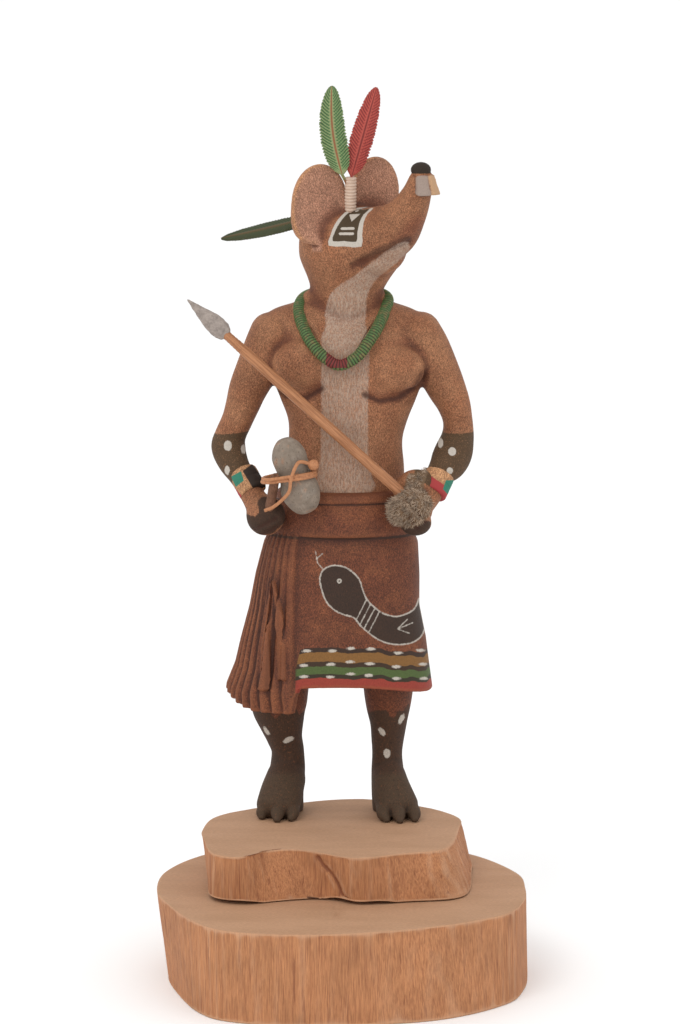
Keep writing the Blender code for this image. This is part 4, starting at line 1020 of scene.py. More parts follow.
def ribbed_cord_tree():
    """A cord along a path, ribbed by the thread that is wound round it."""
    tree, given = geometry_tree("ribbed_cord", [
        ("Radius", FLOAT, 0.0025), ("Pitch", FLOAT, 0.001), ("Depth", FLOAT, 0.1),
        ("Sides", "NodeSocketInt", 20),
        ("Material", "NodeSocketMaterial", None)])
    step = calc(tree, "DIVIDE", given["Pitch"], 6.0)
    dense = add_node(tree, "GeometryNodeResampleCurve", {"Curve": given["Geometry"], "Length": step},
                     mode="LENGTH")
    along = add_node(tree, "GeometryNodeSplineParameter").outputs["Length"]
    turn = calc(tree, "MULTIPLY", calc(tree, "DIVIDE", along, given["Pitch"]), 2 * math.pi)
    wave = calc(tree, "ABSOLUTE", calc(tree, "SINE", calc(tree, "MULTIPLY", turn, 0.5)))
    low = calc(tree, "MULTIPLY", calc(tree, "SUBTRACT", wave, 1.0), given["Depth"])
    radius = calc(tree, "MULTIPLY", calc(tree, "ADD", low, 1.0), given["Radius"])
    profile = add_node(tree, "GeometryNodeCurvePrimitiveCircle",
                       {"Resolution": given["Sides"], "Radius": 1.0})
    cord = add_node(tree, "GeometryNodeCurveToMesh",
                    {"Curve": dense.outputs[0], "Profile Curve": profile.outputs[0],
                                                      "Scale": radius, "Fill Caps": True})
    end_tree(tree, cord.outputs[0], given["Material"])
    return tree


def fur_tree():
    """Short bent hairs scattered over a surface, leaning along one direction."""
    tree, given = geometry_tree("fur", [
        ("Density", FLOAT, 1e6), ("Length", FLOAT, 0.003), ("Radius", FLOAT, 0.0001),
        ("Lean", VECTOR, (0, 0, -1)),
        ("Seed", "NodeSocketInt", SEED), ("Material", "NodeSocketMaterial", None)])
    scatter = add_node(tree, "GeometryNodeDistributePointsOnFaces", {"Mesh": given["Geometry"],
                                                                     "Density": given["Density"],
                                                                     "Seed": given["Seed"]})
    line = add_node(tree, "GeometryNodeCurvePrimitiveBezierSegment", {
        "Resolution": 4, "Start": (0, 0, 0), "Start Handle": (0, 0, 0.4), "End Handle": (0.1, 0, 0.75),
        "End": (0.35, 0, 1.0)})
    share = add_node(tree, "GeometryNodeSplineParameter").outputs["Factor"]
    thin = calc(tree, "MULTIPLY", calc(tree, "SUBTRACT", 1.05, share), calc(tree, "DIVIDE", given["Radius"],
                                                                            given["Length"]))
    profile = add_node(tree, "GeometryNodeCurvePrimitiveCircle", {"Resolution": 3, "Radius": 1.0})
    hair = add_node(tree, "GeometryNodeCurveToMesh",
                    {"Curve": line.outputs[0], "Profile Curve": profile.outputs[0],
                                                      "Scale": thin, "Fill Caps": True})
    leaning = add_node(tree, "ShaderNodeVectorMath", {0: scatter.outputs["Normal"], 1: given["Lean"]},
                       operation="ADD")
    jitter = add_node(tree, "FunctionNodeRandomValue", {0: (-0.8,) * 3, 1: (0.8,) * 3, "Seed": given["Seed"]},
                      data_type="FLOAT_VECTOR")
    aim = add_node(tree, "ShaderNodeVectorMath", {0: leaning.outputs[0], 1: jitter.outputs[0]},
                   operation="ADD")
    turn = add_node(tree, "FunctionNodeAlignRotationToVector", {"Vector": aim.outputs[0]}, axis="Z")
    size = add_node(tree, "FunctionNodeRandomValue", {2: 0.6, 3: 1.25, "Seed": 3}, data_type="FLOAT")
    length = calc(tree, "MULTIPLY", size.outputs[1], given["Length"])
    hairs = add_node(tree, "GeometryNodeInstanceOnPoints",
                     {"Points": scatter.outputs[0], "Instance": hair.outputs[0],
                                                            "Rotation": turn.outputs[0]})
    tree.links.new(length, hairs.inputs["Scale"])
    end_tree(tree, hairs.outputs[0], given["Material"])
    return tree


# Slabs

def slab_points(low, high, half, middle, floor, top, sides=8, rows=36, rings=22):
    """Rings from the middle of the underside, up the side, to the middle of the top."""
    under = curve_through(low, sides * 4, closed=True)
    over = curve_through(high, sides * 4, closed=True)
    made = []
    edge = SLAB_EDGE
    for share in np.linspace(0.04, 0.98, rings):
        made.append((0.0, share, 0.0))
    for lift in np.radians(np.linspace(0, 90, 5)):
        made.append((edge * (1 - math.cos(lift)), 1.0, edge * (1 - math.sin(lift))))
    height = top - floor
    for lift in np.linspace(edge, height - edge, rows)[1:-1]:
        made.append((lift, 1.0, 0.0))
    for lift in np.radians(np.linspace(90, 0, 5)):
        made.append((height - edge * (1 - math.cos(lift)), 1.0, edge * (1 - math.sin(lift))))
    for share in np.linspace(0.98, 0.04, rings):
        made.append((height, share, 0.0))
    result = []
    for lift, share, inset in made:
        t = lift / height
        outline = under * (1 - t) + over * t
        spread = (np.array(half) - inset) * share
        result.append(np.column_stack([outline * spread + np.array(middle),
                                       np.full(len(outline), floor + lift)]))
    return result


def slab_piece(name, rings, carve):
    bm = bmesh.new()
    skin(bm, rings)
    obj = mesh_object(name, bm)
    points, normals = points_of(obj.data)
    move_points(obj.data, carve(points, normals))
    moved, normals = points_of(obj.data)
    store(obj.data, "side", 1 - np.abs(normals[:, 2]))
    store(obj.data, "hollow", hollowness(obj.data, 2))
    seen = in_picture(moved)
    front = smooth_step(0.0, 0.4, -normals[:, 1])
    # Painted shadow in the gaps where the slab's edge stands off the base
    store(obj.data, "gap_shadow", together(*[stroke(seen, path, 1.6) for path in GAP_SHADOWS]) * 2 * front)
    return obj


def carve_base(points, normals):
    """Sawn wood: fine upright ripples on the sides, softer ones on the top, and a star of cracks."""
    seen = in_picture(points)
    side = smooth_step(0.3, 0.8, 1 - np.abs(normals[:, 2]))
    move = -0.22 * side * (1 + ripple(points, (7.0, 7.0, 90.0), 3))
    move -= 0.10 * side * (1 + ripple(points, (2.2, 2.2, 40.0), 4))
    top = smooth_step(0.7, 0.95, normals[:, 2])
    move -= 0.12 * top * (1 + ripple(points, (30.0, 12.0, 30.0), 5))
    for path in STAR_CRACK:
        move -= 0.5 * top * np.exp(-((line_distance(seen, path) / 1.3) ** 2))
    return points + normals * move[:, None]


def carve_slab(points, normals):
    """Split and sanded wood: deeper ripples, a slanting crease, a bottom edge that lifts in places."""
    seen = in_picture(points)
    side = smooth_step(0.3, 0.8, 1 - np.abs(normals[:, 2]))
    move = -0.3 * side * (1 + ripple(points, (6.0, 6.0, 60.0), 6))
    move -= 0.16 * side * (1 + ripple(points, (1.8, 1.8, 30.0), 7))
    front = smooth_step(0.1, 0.4, -normals[:, 1]) * side
    move -= 0.9 * front * np.exp(-((line_distance(seen, SLAB_CREASE) / 2.2) ** 2))
    top = smooth_step(0.7, 0.95, normals[:, 2])
    move -= 0.10 * top * (1 + ripple(points, (26.0, 14.0, 30.0), 8))
    moved = points + normals * move[:, None]
    low = smooth_step(3.0, 0.0, points[:, 2] - SLAB_LOW_Z)
    lift = np.maximum(0, ripple(points, (34.0, 60.0, 200.0), 9, 2)) * 2.2
    moved[:, 2] += lift * low * smooth_step(20.0, 44.0, np.hypot(points[:, 0] - SLAB_MIDDLE[0],
                                                                  points[:, 1] - SLAB_MIDDLE[1]))
    return moved


# The figure

def upper_soft(bm):
    for stations in (TORSO, HEAD):
        limb(bm, stations, level=True)
    for stations in (RIGHT_ARM, LEFT_ARM):
        limb(bm, stations)
    limb(bm, SNOUT, front=(0, 0, 1))
    for values in [*PECS, CHEEK, RIGHT_FIST, LEFT_FIST, LEFT_PALM, *HAND_FUR]:
        ball(bm, *values)


def toes(bm):
    for toe in RIGHT_TOES + LEFT_TOES:
        limb(bm, [(*p, r, r) for p, r in zip(toe, TOE_RADII)], steps=8, sides=28, front=(0, 0, 1))


def upper_crisp(bm):
    ball(bm, *NOSE)
    for values in TEETH:
        tooth(bm, *values)
    for values in EARS:
        ear(bm, *values)


def legs_soft(bm):
    for stations in (RIGHT_LEG, LEFT_LEG):
        limb(bm, stations)
    for stations in (RIGHT_FOOT, LEFT_FOOT):
        limb(bm, stations, front=(0, 0, 1))


def half_sizes_at(z):
    rows = np.array(KILT)[::-1]
    return [float(np.interp(z, rows[:, 0], rows[:, i])) for i in range(1, 5)]


def plain_hem(turn):
    """The kilt's lower edge at a turn from the front, without the pleated side."""
    return HEM_MIDDLE - (HEM_MIDDLE - HEM_SIDE) * smooth_step(0, HEM_SIDE_TURN, np.abs(turn))


def hem_height(turn):
    """The kilt's lower edge at a turn from the front, positive to the doll's left."""
    plain = plain_hem(turn)
    edge = PANEL_FRONT_EDGE[1]
    in_panel = smooth_step(-edge, -edge + 3, -turn) * (1 - smooth_step(42, 92, -turn))
    return plain - (plain - PANEL_HEM) * in_panel


def kilt_point(turn, share):
    """A point of the kilt's surface at a turn from the front and a share of the way down."""
    z = KILT[0][0] + (float(hem_height(turn)) - KILT[0][0]) * share
    left, right, front, back = half_sizes_at(z)
    a = math.radians(turn)
    s, c = math.sin(a), math.cos(a)
    power = 2 / KILT_SQUARENESS
    x = math.copysign(abs(s) ** power, s) * (right if s > 0 else left)
    y = -math.copysign(abs(c) ** power, c) * (front if c > 0 else back)
    edge = PANEL_FRONT_EDGE[0] + (PANEL_FRONT_EDGE[1] - PANEL_FRONT_EDGE[0]) * share
    along = (turn - edge) / (PANEL_BACK_EDGE - edge)
    if 0 < along < 1:
        depth = FLUTE_DEPTH[0] + (FLUTE_DEPTH[1] - FLUTE_DEPTH[0]) * share
        wave = abs(math.sin(math.pi * FLUTES * along)) ** 0.6
        plain_fold = smooth_step(0.6 / FLUTES, 1.2 / FLUTES, along)
        ends = smooth_step(0, 0.012, along) * smooth_step(0, 0.06, 1 - along)
        out = ends * (PANEL_RAISE - depth * (1 - wave) * plain_fold)
        normal = Vector((x, y)).normalized()
        x += normal.x * out
        y += normal.y * out
    return Vector((x, y, z))


def kilt_forms(bm, around=900, down=40):
    """The kilt, hollowed a little under its hem, and the belt over its top edge."""
    turns = [-180 + 360 * i / around for i in range(around)]
    rings = [[kilt_point(turn, row / down) for turn in turns] for row in range(down + 1)]
    for inset, lift in ((HEM_WALL, 0.0), (HEM_WALL + 1.0, HEM_HOLLOW)):
        ring = []
        for p in rings[down]:
            outward = Vector((p.x, p.y, 0)).normalized()
            level = p.z if lift == 0 else HEM_MIDDLE + lift
            ring.append(Vector((p.x, p.y, level)) - outward * inset)
        rings.append(ring)
    skin(bm, rings)
    line = curve_through(TORSO, 8)
    rings = []
    for z, out in curve_through(BELT, 4):
        x, y, half_width, half_depth = (float(np.interp(z, line[:, 2], line[:, i])) for i in (0, 1, 3, 4))
        rings.append(cross_ring(Vector((x, y, z)), Vector((1, 0, 0)), Vector((0, 1, 0)),
                                half_width + out, half_depth + out, 160))
    skin(bm, rings)


def carving(points, normals):
    """How far each point of the figure is moved along its normal by the knife."""
    front_view = points[:, [0, 2]]
    facing = smooth_step(0.05, 0.45, -normals[:, 1])
    move = np.zeros(len(points))
    for path, width, depth in CUTS:
        move -= depth * facing * np.exp(-((line_distance(front_view, path) / width) ** 2))
    x, z = front_view.T
    for left, right in SASH_ENDS:
        left, right = np.array(left[::-1]), np.array(right[::-1])
        low, high = left[0][1], left[-1][1]
        inside = np.minimum(x - np.interp(z, left[:, 1], left[:, 0]),
                            np.interp(z, right[:, 1], right[:, 0]) - x)
        inside = np.minimum(inside, np.minimum(z - low, high - z))
        move += SASH_RAISE * facing * smooth_step(-0.35, 0.35, inside)
    return move


def set_in_place(obj):
    """Carves the piece and moves it from the figure's own frame to the part's."""
    points, normals = points_of(obj.data)
    moved = points + normals * carving(points, normals)[:, None] + np.array(GROUND)
    moved[:, 2] = np.maximum(moved[:, 2], SLAB_TOP_Z + CLEARANCE)
    move_points(obj.data, moved)


def split_off(obj, name, chosen):
    """Moves the chosen faces into a piece of their own and closes both along the cut."""
    twin = obj.copy()
    twin.data = obj.data.copy()
    twin.name = name
    bpy.context.scene.collection.objects.link(twin)
    for piece, unwanted in ((obj, chosen), (twin, ~chosen)):
        bm = bmesh.new()
        bm.from_mesh(piece.data)
        bm.faces.ensure_lookup_table()
        bmesh.ops.delete(bm, geom=[bm.faces[i] for i in np.flatnonzero(unwanted)], context="FACES")
        bmesh.ops.holes_fill(bm, edges=[e for e in bm.edges if e.is_boundary], sides=0)
        bmesh.ops.triangulate(bm, faces=[f for f in bm.faces if len(f.verts) > 4])
        bm.to_mesh(piece.data)
        bm.free()
    return twin


def above_necklace(points):
    """True for points over the necklace's line, which hides the cut."""
    line = curve_through(NECKLACE, 6, closed=True) + np.array(GROUND)
    middle = line.mean(0)
    angle = np.arctan2(line[:, 1] - middle[1], line[:, 0] - middle[0])
    order = np.argsort(angle)
    at = np.arctan2(points[:, 1] - middle[1], points[:, 0] - middle[0])
    return points[:, 2] > np.interp(at, angle[order], line[order, 2], period=2 * math.pi)


def face_centres(mesh):
    centres = np.empty(len(mesh.polygons) * 3, np.float32)
    mesh.polygons.foreach_get("center", centres)
    return centres.reshape(-1, 3).astype(float) / MM


def in_tooth(own, root, edge, turn):
    """Signed distance from a tooth's wedge."""
    root, edge = np.array(root), np.array(edge)
    a = math.radians(turn)
    length = np.linalg.norm(edge - root)
    away = own - root
    share = away @ (edge - root) / length**2
    away = away - share[:, None] * (edge - root)
    wide, thick = (start + (end - start) * np.clip(share, 0, 1) for start, end in zip(TOOTH_ROOT, TOOTH_EDGE))
    across = wide + 0.3 - np.abs(away @ np.array((math.cos(a), math.sin(a), 0)))
    deep = thick + 0.45 - np.abs(away @ np.array((-math.sin(a), math.cos(a), 0)))
    return np.minimum.reduce([across, deep, (share - 0.08) * length, (1.12 - share) * length])


def paint_head(mesh):
    points, normals, seen, own = views(mesh)
    store(mesh, "panel", in_front(patch(seen, PANEL_OUTER, 2), normals))
    store(mesh, "panel_dark", in_front(patch(seen, PANEL_INNER, 2), normals))
    bars = [stroke(seen, path, half) for path, half in zip(PANEL_BARS, BAR_HALF)]
    store(mesh, "panel_marks", in_front(together(patch(seen, PANEL_TRIANGLE, 1), *bars), normals))
    store(mesh, "throat", in_front(patch(seen, THROAT), normals, 0.0))
    nose = lump(points, *NOSE) + 0.9
    nose = np.minimum(nose, own[:, 2] - 275.2)
    store(mesh, "nose", nose)
    first, second = (in_tooth(own, *values) for values in TEETH)
    store(mesh, "teeth", together(first, second))
    store(mesh, "tooth_side", second)
    side, up, depth = (np.array(axis) for axis in ear_axes())
    faces, rims = [], []
    for centre, half_width, half_height in EARS:
        away = own - np.array(centre)
        u, v, w = away @ side / half_width, away @ up / half_height, away @ depth
        flat = (1.03 - np.hypot(u, v)) * half_width
        near = np.minimum(flat, EAR_THICKNESS / 2 + 0.4 - np.abs(w))
        faces.append(near)
        rims.append(np.minimum(np.minimum(near, 0.9 - flat), -away @ side - 1.0))
    store(mesh, "ears", together(*faces))
    store(mesh, "ear_rims", together(*rims))
    # The mouth's field follows the carved groove, for painted shade along it
    store(mesh, "mouth", in_front(together(*[stroke(seen, MOUTH[i:i + 2], 1.6 + i * 0.9)
                                             for i in range(len(MOUTH) - 1)]), normals, -0.1))
    store(mesh, "muzzle", patch(seen, MUZZLE))
    store(mesh, "glue", in_front(together(*[spot(seen, *values) for values in GLUE]), normals))


def paint_torso(mesh):
    _, normals, seen, own = views(mesh)
    store(mesh, "throat", in_front(patch(seen, THROAT), normals, 0.0))
    outer = np.abs(own[:, 0] - 1.6) - 29.0
    height = ARM_LINE - own[:, 2] + 0.08 * (own[:, 0] + 44) * (own[:, 0] < 0)
    arms = np.minimum(height, outer)
    right_wrist = own @ np.array(AXIS_RIGHT) - CUFF_END_RIGHT
    left_wrist = own @ np.array(AXIS_LEFT) - CUFF_END_LEFT
    wrist = np.where(own[:, 0] < 0, right_wrist, left_wrist)
    store(mesh, "forearms", np.minimum(arms, -wrist))
    # Fields of the knife cuts, for painted shade in them
    cuts = [width * 0.5 - line_distance(own[:, [0, 2]], path) for path, width, _ in CUTS]
    store(mesh, "cuts", in_front(together(*cuts), normals))
    store(mesh, "fists", together(patch(seen, FIST_PAINT), patch(seen, HEEL_PAINT)))
    store(mesh, "dots", in_front(together(*[spot(seen, *values) for values in WHITE_DOTS]), normals, 0.0))
    store(mesh, "fur", np.minimum(patch(seen, FUR_PAINT), -own[:, 1] - 4.0))


def axis_of(cuff):
    a, b = (Vector(p) for p in cuff[:2])
    along = (b - a).normalized()
    return along, b.dot(along)


AXIS_RIGHT, CUFF_END_RIGHT = axis_of(RIGHT_CUFF)
AXIS_LEFT, CUFF_END_LEFT = axis_of(LEFT_CUFF)


def turn_of(own):
    """The turn from the front round the kilt, positive to the doll's left, that a point of it lies at."""
    turns = np.arange(-180.0, 181.0)
    hem = np.array([kilt_point(turn, 0.8)[:2] for turn in turns])
    angle = np.unwrap(np.arctan2(hem[:, 0], -hem[:, 1]))
    at = np.arctan2(own[:, 0], -own[:, 1])
    return np.interp(at, angle, turns)


def paint_kilt(mesh):
    _, normals, seen, own = views(mesh)
    turn = turn_of(own)
    above = own[:, 2] - plain_hem(turn)
    down = np.clip((KILT[0][0] - own[:, 2]) / (KILT[0][0] - hem_height(turn)), 0, 1)
    edge = PANEL_FRONT_EDGE[0] + (PANEL_FRONT_EDGE[1] - PANEL_FRONT_EDGE[0]) * down
    line = np.array(KILT_EDGE)
    from_fold = (seen[:, 0] - np.interp(seen[:, 1], line[:, 1], line[:, 0])) * PIXEL
    at_fold = (turn > -60) & (turn < 0) & (normals[:, 1] < 0.1)
    cloth = np.maximum(np.where(at_fold, from_fold, (turn - edge) * EDGE_ARC),
                       (PANEL_BACK_EDGE - turn) * EDGE_ARC)
    outside = np.hypot(own[:, 0], own[:, 1]) - 20.0
    wavy = above + 0.35 * np.sin(turn * 0.21 + 0.6) + 0.18 * np.sin(turn * 0.47)
    share = np.clip((turn - edge) / (PANEL_BACK_EDGE - edge), 0, 1)
    on_flutes = smooth_step(0.6 / FLUTES, 1.2 / FLUTES, share) * (own[:, 2] < KILT[0][0] - 5.0)
    # How deep a point lies in the pleats' valleys, for painted shade there
    store(mesh, "flute", (1 - np.abs(np.sin(math.pi * FLUTES * share))) * on_flutes)
    # Painted shadow lines at the belt's lower edge and along its middle groove
    store(mesh, "belt_shadow", together(0.55 - np.abs(own[:, 2] - BELT[0][0]),
                                      0.3 - np.abs(own[:, 2] - BELT[4][0])))
    store(mesh, "hem", wavy)
    store(mesh, "cloth", np.minimum(cloth, outside))
    along = turn * HEM_ARC
    draw = np.random.default_rng(SEED)
    dashes = []
    for line in ((HEM_OCHRE + HEM_LINE_1) / 2, (HEM_GREEN + HEM_LINE_2) / 2, (HEM_RED + HEM_LINE_3) / 2):
        start = -10.0 + draw.uniform(-0.8, 0.8)
        for k in range(25):
            at = start + DASH_PITCH * k + draw.uniform(-0.6, 0.6)
            tilt = draw.uniform(-0.2, 0.1)
            u = (along - at + HEM_ROUND / 2) % HEM_ROUND - HEM_ROUND / 2
            v = wavy - line + u * tilt
            dashes.append((1 - np.hypot(u / DASH_HALF[0], v / DASH_HALF[1])) * DASH_HALF[1])
    front = together(*[spot(seen, centre, FRONT_DASH_RADII) for centre in FRONT_DASHES])
    store(mesh, "dashes", np.minimum(np.where(normals[:, 1] < -0.1, front, together(*dashes)), cloth - 0.3))
    serpent = in_front(patch(seen, SERPENT), normals, 0.02)
    store(mesh, "serpent", serpent)
    lines = [OUTLINE_HALF * PIXEL - np.abs(serpent)]
    lines += [stroke(seen, path, MARK_HALF) for path in SERPENT_BARS + SERPENT_MARKS]
    lines.append(spot(seen, SERPENT_EYE, (2.5, 2.5)))
    store(mesh, "serpent_lines", in_front(together(*lines), normals, 0.02))
    store(mesh, "serpent_pupil", spot(seen, SERPENT_EYE, (0.9, 0.9)))


def paint_legs(mesh):
    _, normals, seen, own = views(mesh)
    edge = LEG_LINE + 1.6 * np.sin(own[:, 0] * 0.5) + 1.0 * np.sin(own[:, 1] * 0.7 + own[:, 0])
    store(mesh, "legs", edge - own[:, 2])
    store(mesh, "feet", 19.0 - own[:, 2] - 0.35 * (own[:, 1] + 6))
    store(mesh, "dots", in_front(together(*[spot(seen, *values) for values in LEG_DOTS]), normals, -0.2))


# Finishes

def wood_ground(finish, dark, flecks=0.6):
    """Fine streaks, dark specks and a slow change of tone over the stain."""
    finish.shade(finish.fine, 0.36, 0.64, 0.68, 1.26)
    finish.shade(noise(finish.tree, finish.place, 2200.0, 2.0, 0.7), 0.38, 0.62, 0.72, 1.26)
    finish.shade(noise(finish.tree, finish.place, 420.0, 3.0), 0.35, 0.65, 0.93, 1.07)
    finish.flecks(dark, 2100.0, 0.57, flecks)
    finish.shade(noise(finish.tree, finish.place, 60.0, 2.0), 0.3, 0.7, 0.88, 1.08)


def head_finish():
    f = Finish("head_stain", "stain", "stain_dark", (2200.0, 2200.0, 760.0))
    f.coat(ramp(f.tree, noise(f.tree, f.place, 90.0, 2.0), 0.35, 0.65), "stain_light", None, 0.25)
    f.paint("muzzle", "muzzle", 2.6, 1.2, 0.95, None, 0.7)
    # Painted shade along the carved mouth groove
    f.paint("mouth", "kilt_dark", 1.0, 0.6, 0.95, None, 0.75)
    f.paint("glue", "glue", 0.8, 1.0, 0.9, 0.4, 0.6)
    f.paint("ears", "ear", 0.6, 0.5, 0.95, None, 0.85)
    f.paint("ear_rims", "ear_rim", 0.4, 0.6, 0.9, None, 0.6)
    # Painted shade in the wide hollows and in the creases, with painted highlight on the ridges
    f.shade_hollows("hollow_shade")
    f.creases("stain_dark", "stain_light", 0.25, 0.6)
    wood_ground(f, "stain_dark", 0.5)
    f.dry_paint("throat", "pale", 0.9)
    f.paint("panel", "white", 0.12, 0.3, 0.72)
    f.paint("panel_dark", "umber", 0.12, 0.25, 0.78)
    f.paint("panel_marks", "white", 0.12, 0.25, 0.75)
    f.paint("nose", "nose", 0.2, 0.5, 0.8, 0.85)
    f.paint("teeth", "tooth", 0.2, 0.2, 0.9)
    f.paint("tooth_side", "tooth_tan", 0.2, 0.2, 0.9)
    # More painted shade in the creases, over the paint
    f.creases("stain_dark", None, 0.2, 0.7)
    f.shade(f.fine, 0.3, 0.7, 0.88, 1.1)
    return f.done(0.7, 0.0003)


def torso_finish():
    f = Finish("torso_stain", "stain", "stain_dark", (2200.0, 2200.0, 760.0))
    f.coat(ramp(f.tree, noise(f.tree, f.place, 70.0, 2.0), 0.35, 0.65), "stain_light", None, 0.35)
    # Painted shade in the wide hollows
    f.shade_hollows("hollow_shade")
    wood_ground(f, "stain_dark", 0.6)
    f.dry_paint("throat", "pale", 0.8)
    f.paint("forearms", "umber", 0.3, 0.8, 0.66, 0.8, 0.88)
    f.flecks("stain_light", 1900.0, 0.57, 0.28)
    f.paint("fists", "leg_dark", 0.4, 1.2, 0.8, 0.8, 0.9)
    # Dark ground under the hairs: painted shade between them
    f.paint("fur", "fur_dark", 0.4, 0.8, 0.8, 0.9, 0.9)
    f.paint("dots", "white", 0.15, 0.5, 0.66)
    # Painted shade in the knife cuts
    f.paint("cuts", "kilt_dark", 0.9, 1.4, 0.9, None, 0.65)
    # Painted shade in the creases
    f.creases("kilt_dark", None, 0.3, 0.6)
    f.shade(f.fine, 0.3, 0.7, 0.88, 1.1)
    return f.done(0.7, 0.0003)


def kilt_finish():
    f = Finish("kilt_stain", "kilt", "kilt_dark", (2200.0, 2200.0, 760.0), 0.68)
    f.coat(ramp(f.tree, noise(f.tree, f.place, 80.0, 2.0), 0.4, 0.7), "kilt_light", None, 0.4)
    # Painted shade in the valleys of the pleats
    f.coat(ramp(f.tree, field(f.tree, "flute"), 0.35, 0.9), "kilt_dark", None, 0.75)
    # Painted shade in the wide hollows
    f.shade_hollows("kilt_dark", -0.1, 0.35, 0.6)
    wood_ground(f, "kilt_dark", 0.5)
    # Painted shadow under the belt and in its middle groove
    f.paint("belt_shadow", "line", 0.25, 0.3, 0.95, None, 0.85)
    cloth = use_group(f.tree, PAINT_EDGE, Distance=field(f.tree, "cloth"), Soft=0.2, Ragged=0.4, Bare=0.9,
                      Place=f.place)["Cover"]
    height = calc(f.tree, "ADD", field(f.tree, "hem"),
                  calc(f.tree, "MULTIPLY", calc(f.tree, "SUBTRACT", noise(f.tree, f.place, 260.0, 2.0), 0.5),
                       1.2))
    bands = [(HEM_LINE_1, "line"), (HEM_OCHRE, "ochre"), (HEM_LINE_2, "line"), (HEM_GREEN, "green"),
             (HEM_LINE_3, "line"), (HEM_RED, "red")]
    for level, colour in bands:
        below = calc(f.tree, "MULTIPLY", ramp(f.tree, height, level + 0.12, level - 0.12), cloth)
        above = ramp(f.tree, height, HEM_OVERRUN - 0.4, HEM_OVERRUN)
        f.coat(calc(f.tree, "MULTIPLY", below, above), colour, None, 0.92)
    f.paint("dashes", "white", 0.22, 0.8, 0.64)
    f.paint("serpent", "line", 0.15, 0.3, 0.66, None, 0.92)
    f.paint("serpent_lines", "white", 0.16, 0.5, 0.58, None, 0.85)
    f.paint("serpent_pupil", "line", 0.1, 0.1, 0.95)
    f.shade(f.fine, 0.3, 0.7, 0.8, 1.16)
    # Painted shade in the creases and painted highlight on the ridges
    f.creases("kilt_dark", "kilt_light", 0.2, 0.8)
    return f.done(0.7, 0.0003)


def legs_finish():
    f = Finish("leg_stain", "kilt", "kilt_dark", (2200.0, 2200.0, 760.0))
    wood_ground(f, "kilt_dark", 0.5)
    f.paint("legs", "leg", 0.5, 1.6, 0.7, 0.8, 0.95)
    f.paint("feet", "foot", 2.0, 1.5, 0.9, 0.8, 0.7)
    f.flecks("leg_dark", 1700.0, 0.56, 0.6)
    f.flecks("kilt_light", 2000.0, 0.58, 0.3)
    f.paint("dots", "white", 0.2, 0.7, 0.66)
    f.shade(f.fine, 0.3, 0.7, 0.75, 1.25)
    # Painted shade in the wide hollows and in the creases, with painted highlight on the ridges
    f.shade_hollows("leg_dark", -0.1, 0.35, 0.6)
    f.creases("leg_dark", "foot", 0.25, 0.8)
    return f.done(0.6)


def slab_finish(name, top, top_dark, side, side_dark, fleck_scale):
    f = Finish(name, side, side_dark, (1900.0, 1900.0, 75.0), 0.8, 0.5)
    f.shade(f.fine, 0.3, 0.7, 0.84, 1.14)
    f.shade(noise(f.tree, f.place, 55.0, 3.0), 0.3, 0.7, 0.9, 1.08)
    f.coat(f.pores, side_dark, None, 0.35)
    splits = noise(f.tree, stretched(f.tree, f.place, (620.0, 620.0, 14.0)), 1.0, 3.0, 0.6)
    f.coat(ramp(f.tree, splits, 0.62, 0.7), side_dark, None, 0.7)
    # Painted shade in the creases and painted highlight on the ridges
    f.creases(side_dark, "wood_light", 0.15, 0.8)
    broad = noise(f.tree, stretched(f.tree, f.place, (30.0, 90.0, 60.0)), 1.0, 3.0)
    sawn = blend(f.tree, ramp(f.tree, broad, 0.3, 0.75, 0.0, 0.35), tone(top), tone(top_dark))
    fine = noise(f.tree, stretched(f.tree, f.place, (700.0, 1500.0, 900.0)), 1.0, 3.0, 0.7)
    worn = grey(f.tree, ramp(f.tree, fine, 0.3, 0.7, 0.9, 1.08))
    flat = ramp(f.tree, field(f.tree, "side"), 0.45, 0.2)
    f.coat(flat, blend(f.tree, 1.0, sawn, worn, "MULTIPLY"))
    f.flecks(side_dark, fleck_scale, 0.7, 0.3)
    # Painted shadow in the gaps under the slab
    f.coat(ramp(f.tree, field(f.tree, "gap_shadow"), 0.0, 1.0), "gap_shadow_tone", None, 0.85)
    return f.done(0.45, 0.0003)


def feather_finish(name, plain, dark, quill, crest):
    f = Finish(name, plain, dark, (1500.0, 1500.0, 900.0), 0.65, 0.35)
    f.coat(ramp(f.tree, field(f.tree, "groove"), 0.3, 0.02), crest, None, 0.55)
    f.coat(ramp(f.tree, field(f.tree, "groove"), 0.25, 0.7), dark, None, 0.9)
    f.coat(ramp(f.tree, field(f.tree, "rib"), 0.3, 0.6), quill, None, 0.85)
    f.shade(f.fine, 0.3, 0.7, 0.85, 1.12)
    return f.done(0.35, 0.0001)


def plain_finish(name, light, dark, stretch, roughness, flecks=0.4, bump=0.4, scale=1500.0, level=0.62):
    """A ground with streaks and specks and no painted outlines."""
    f = Finish(name, light, dark, stretch, roughness)
    f.shade(f.fine, 0.3, 0.7, 0.85, 1.1)
    f.flecks(dark, scale, level, flecks)
    return f.done(bump)


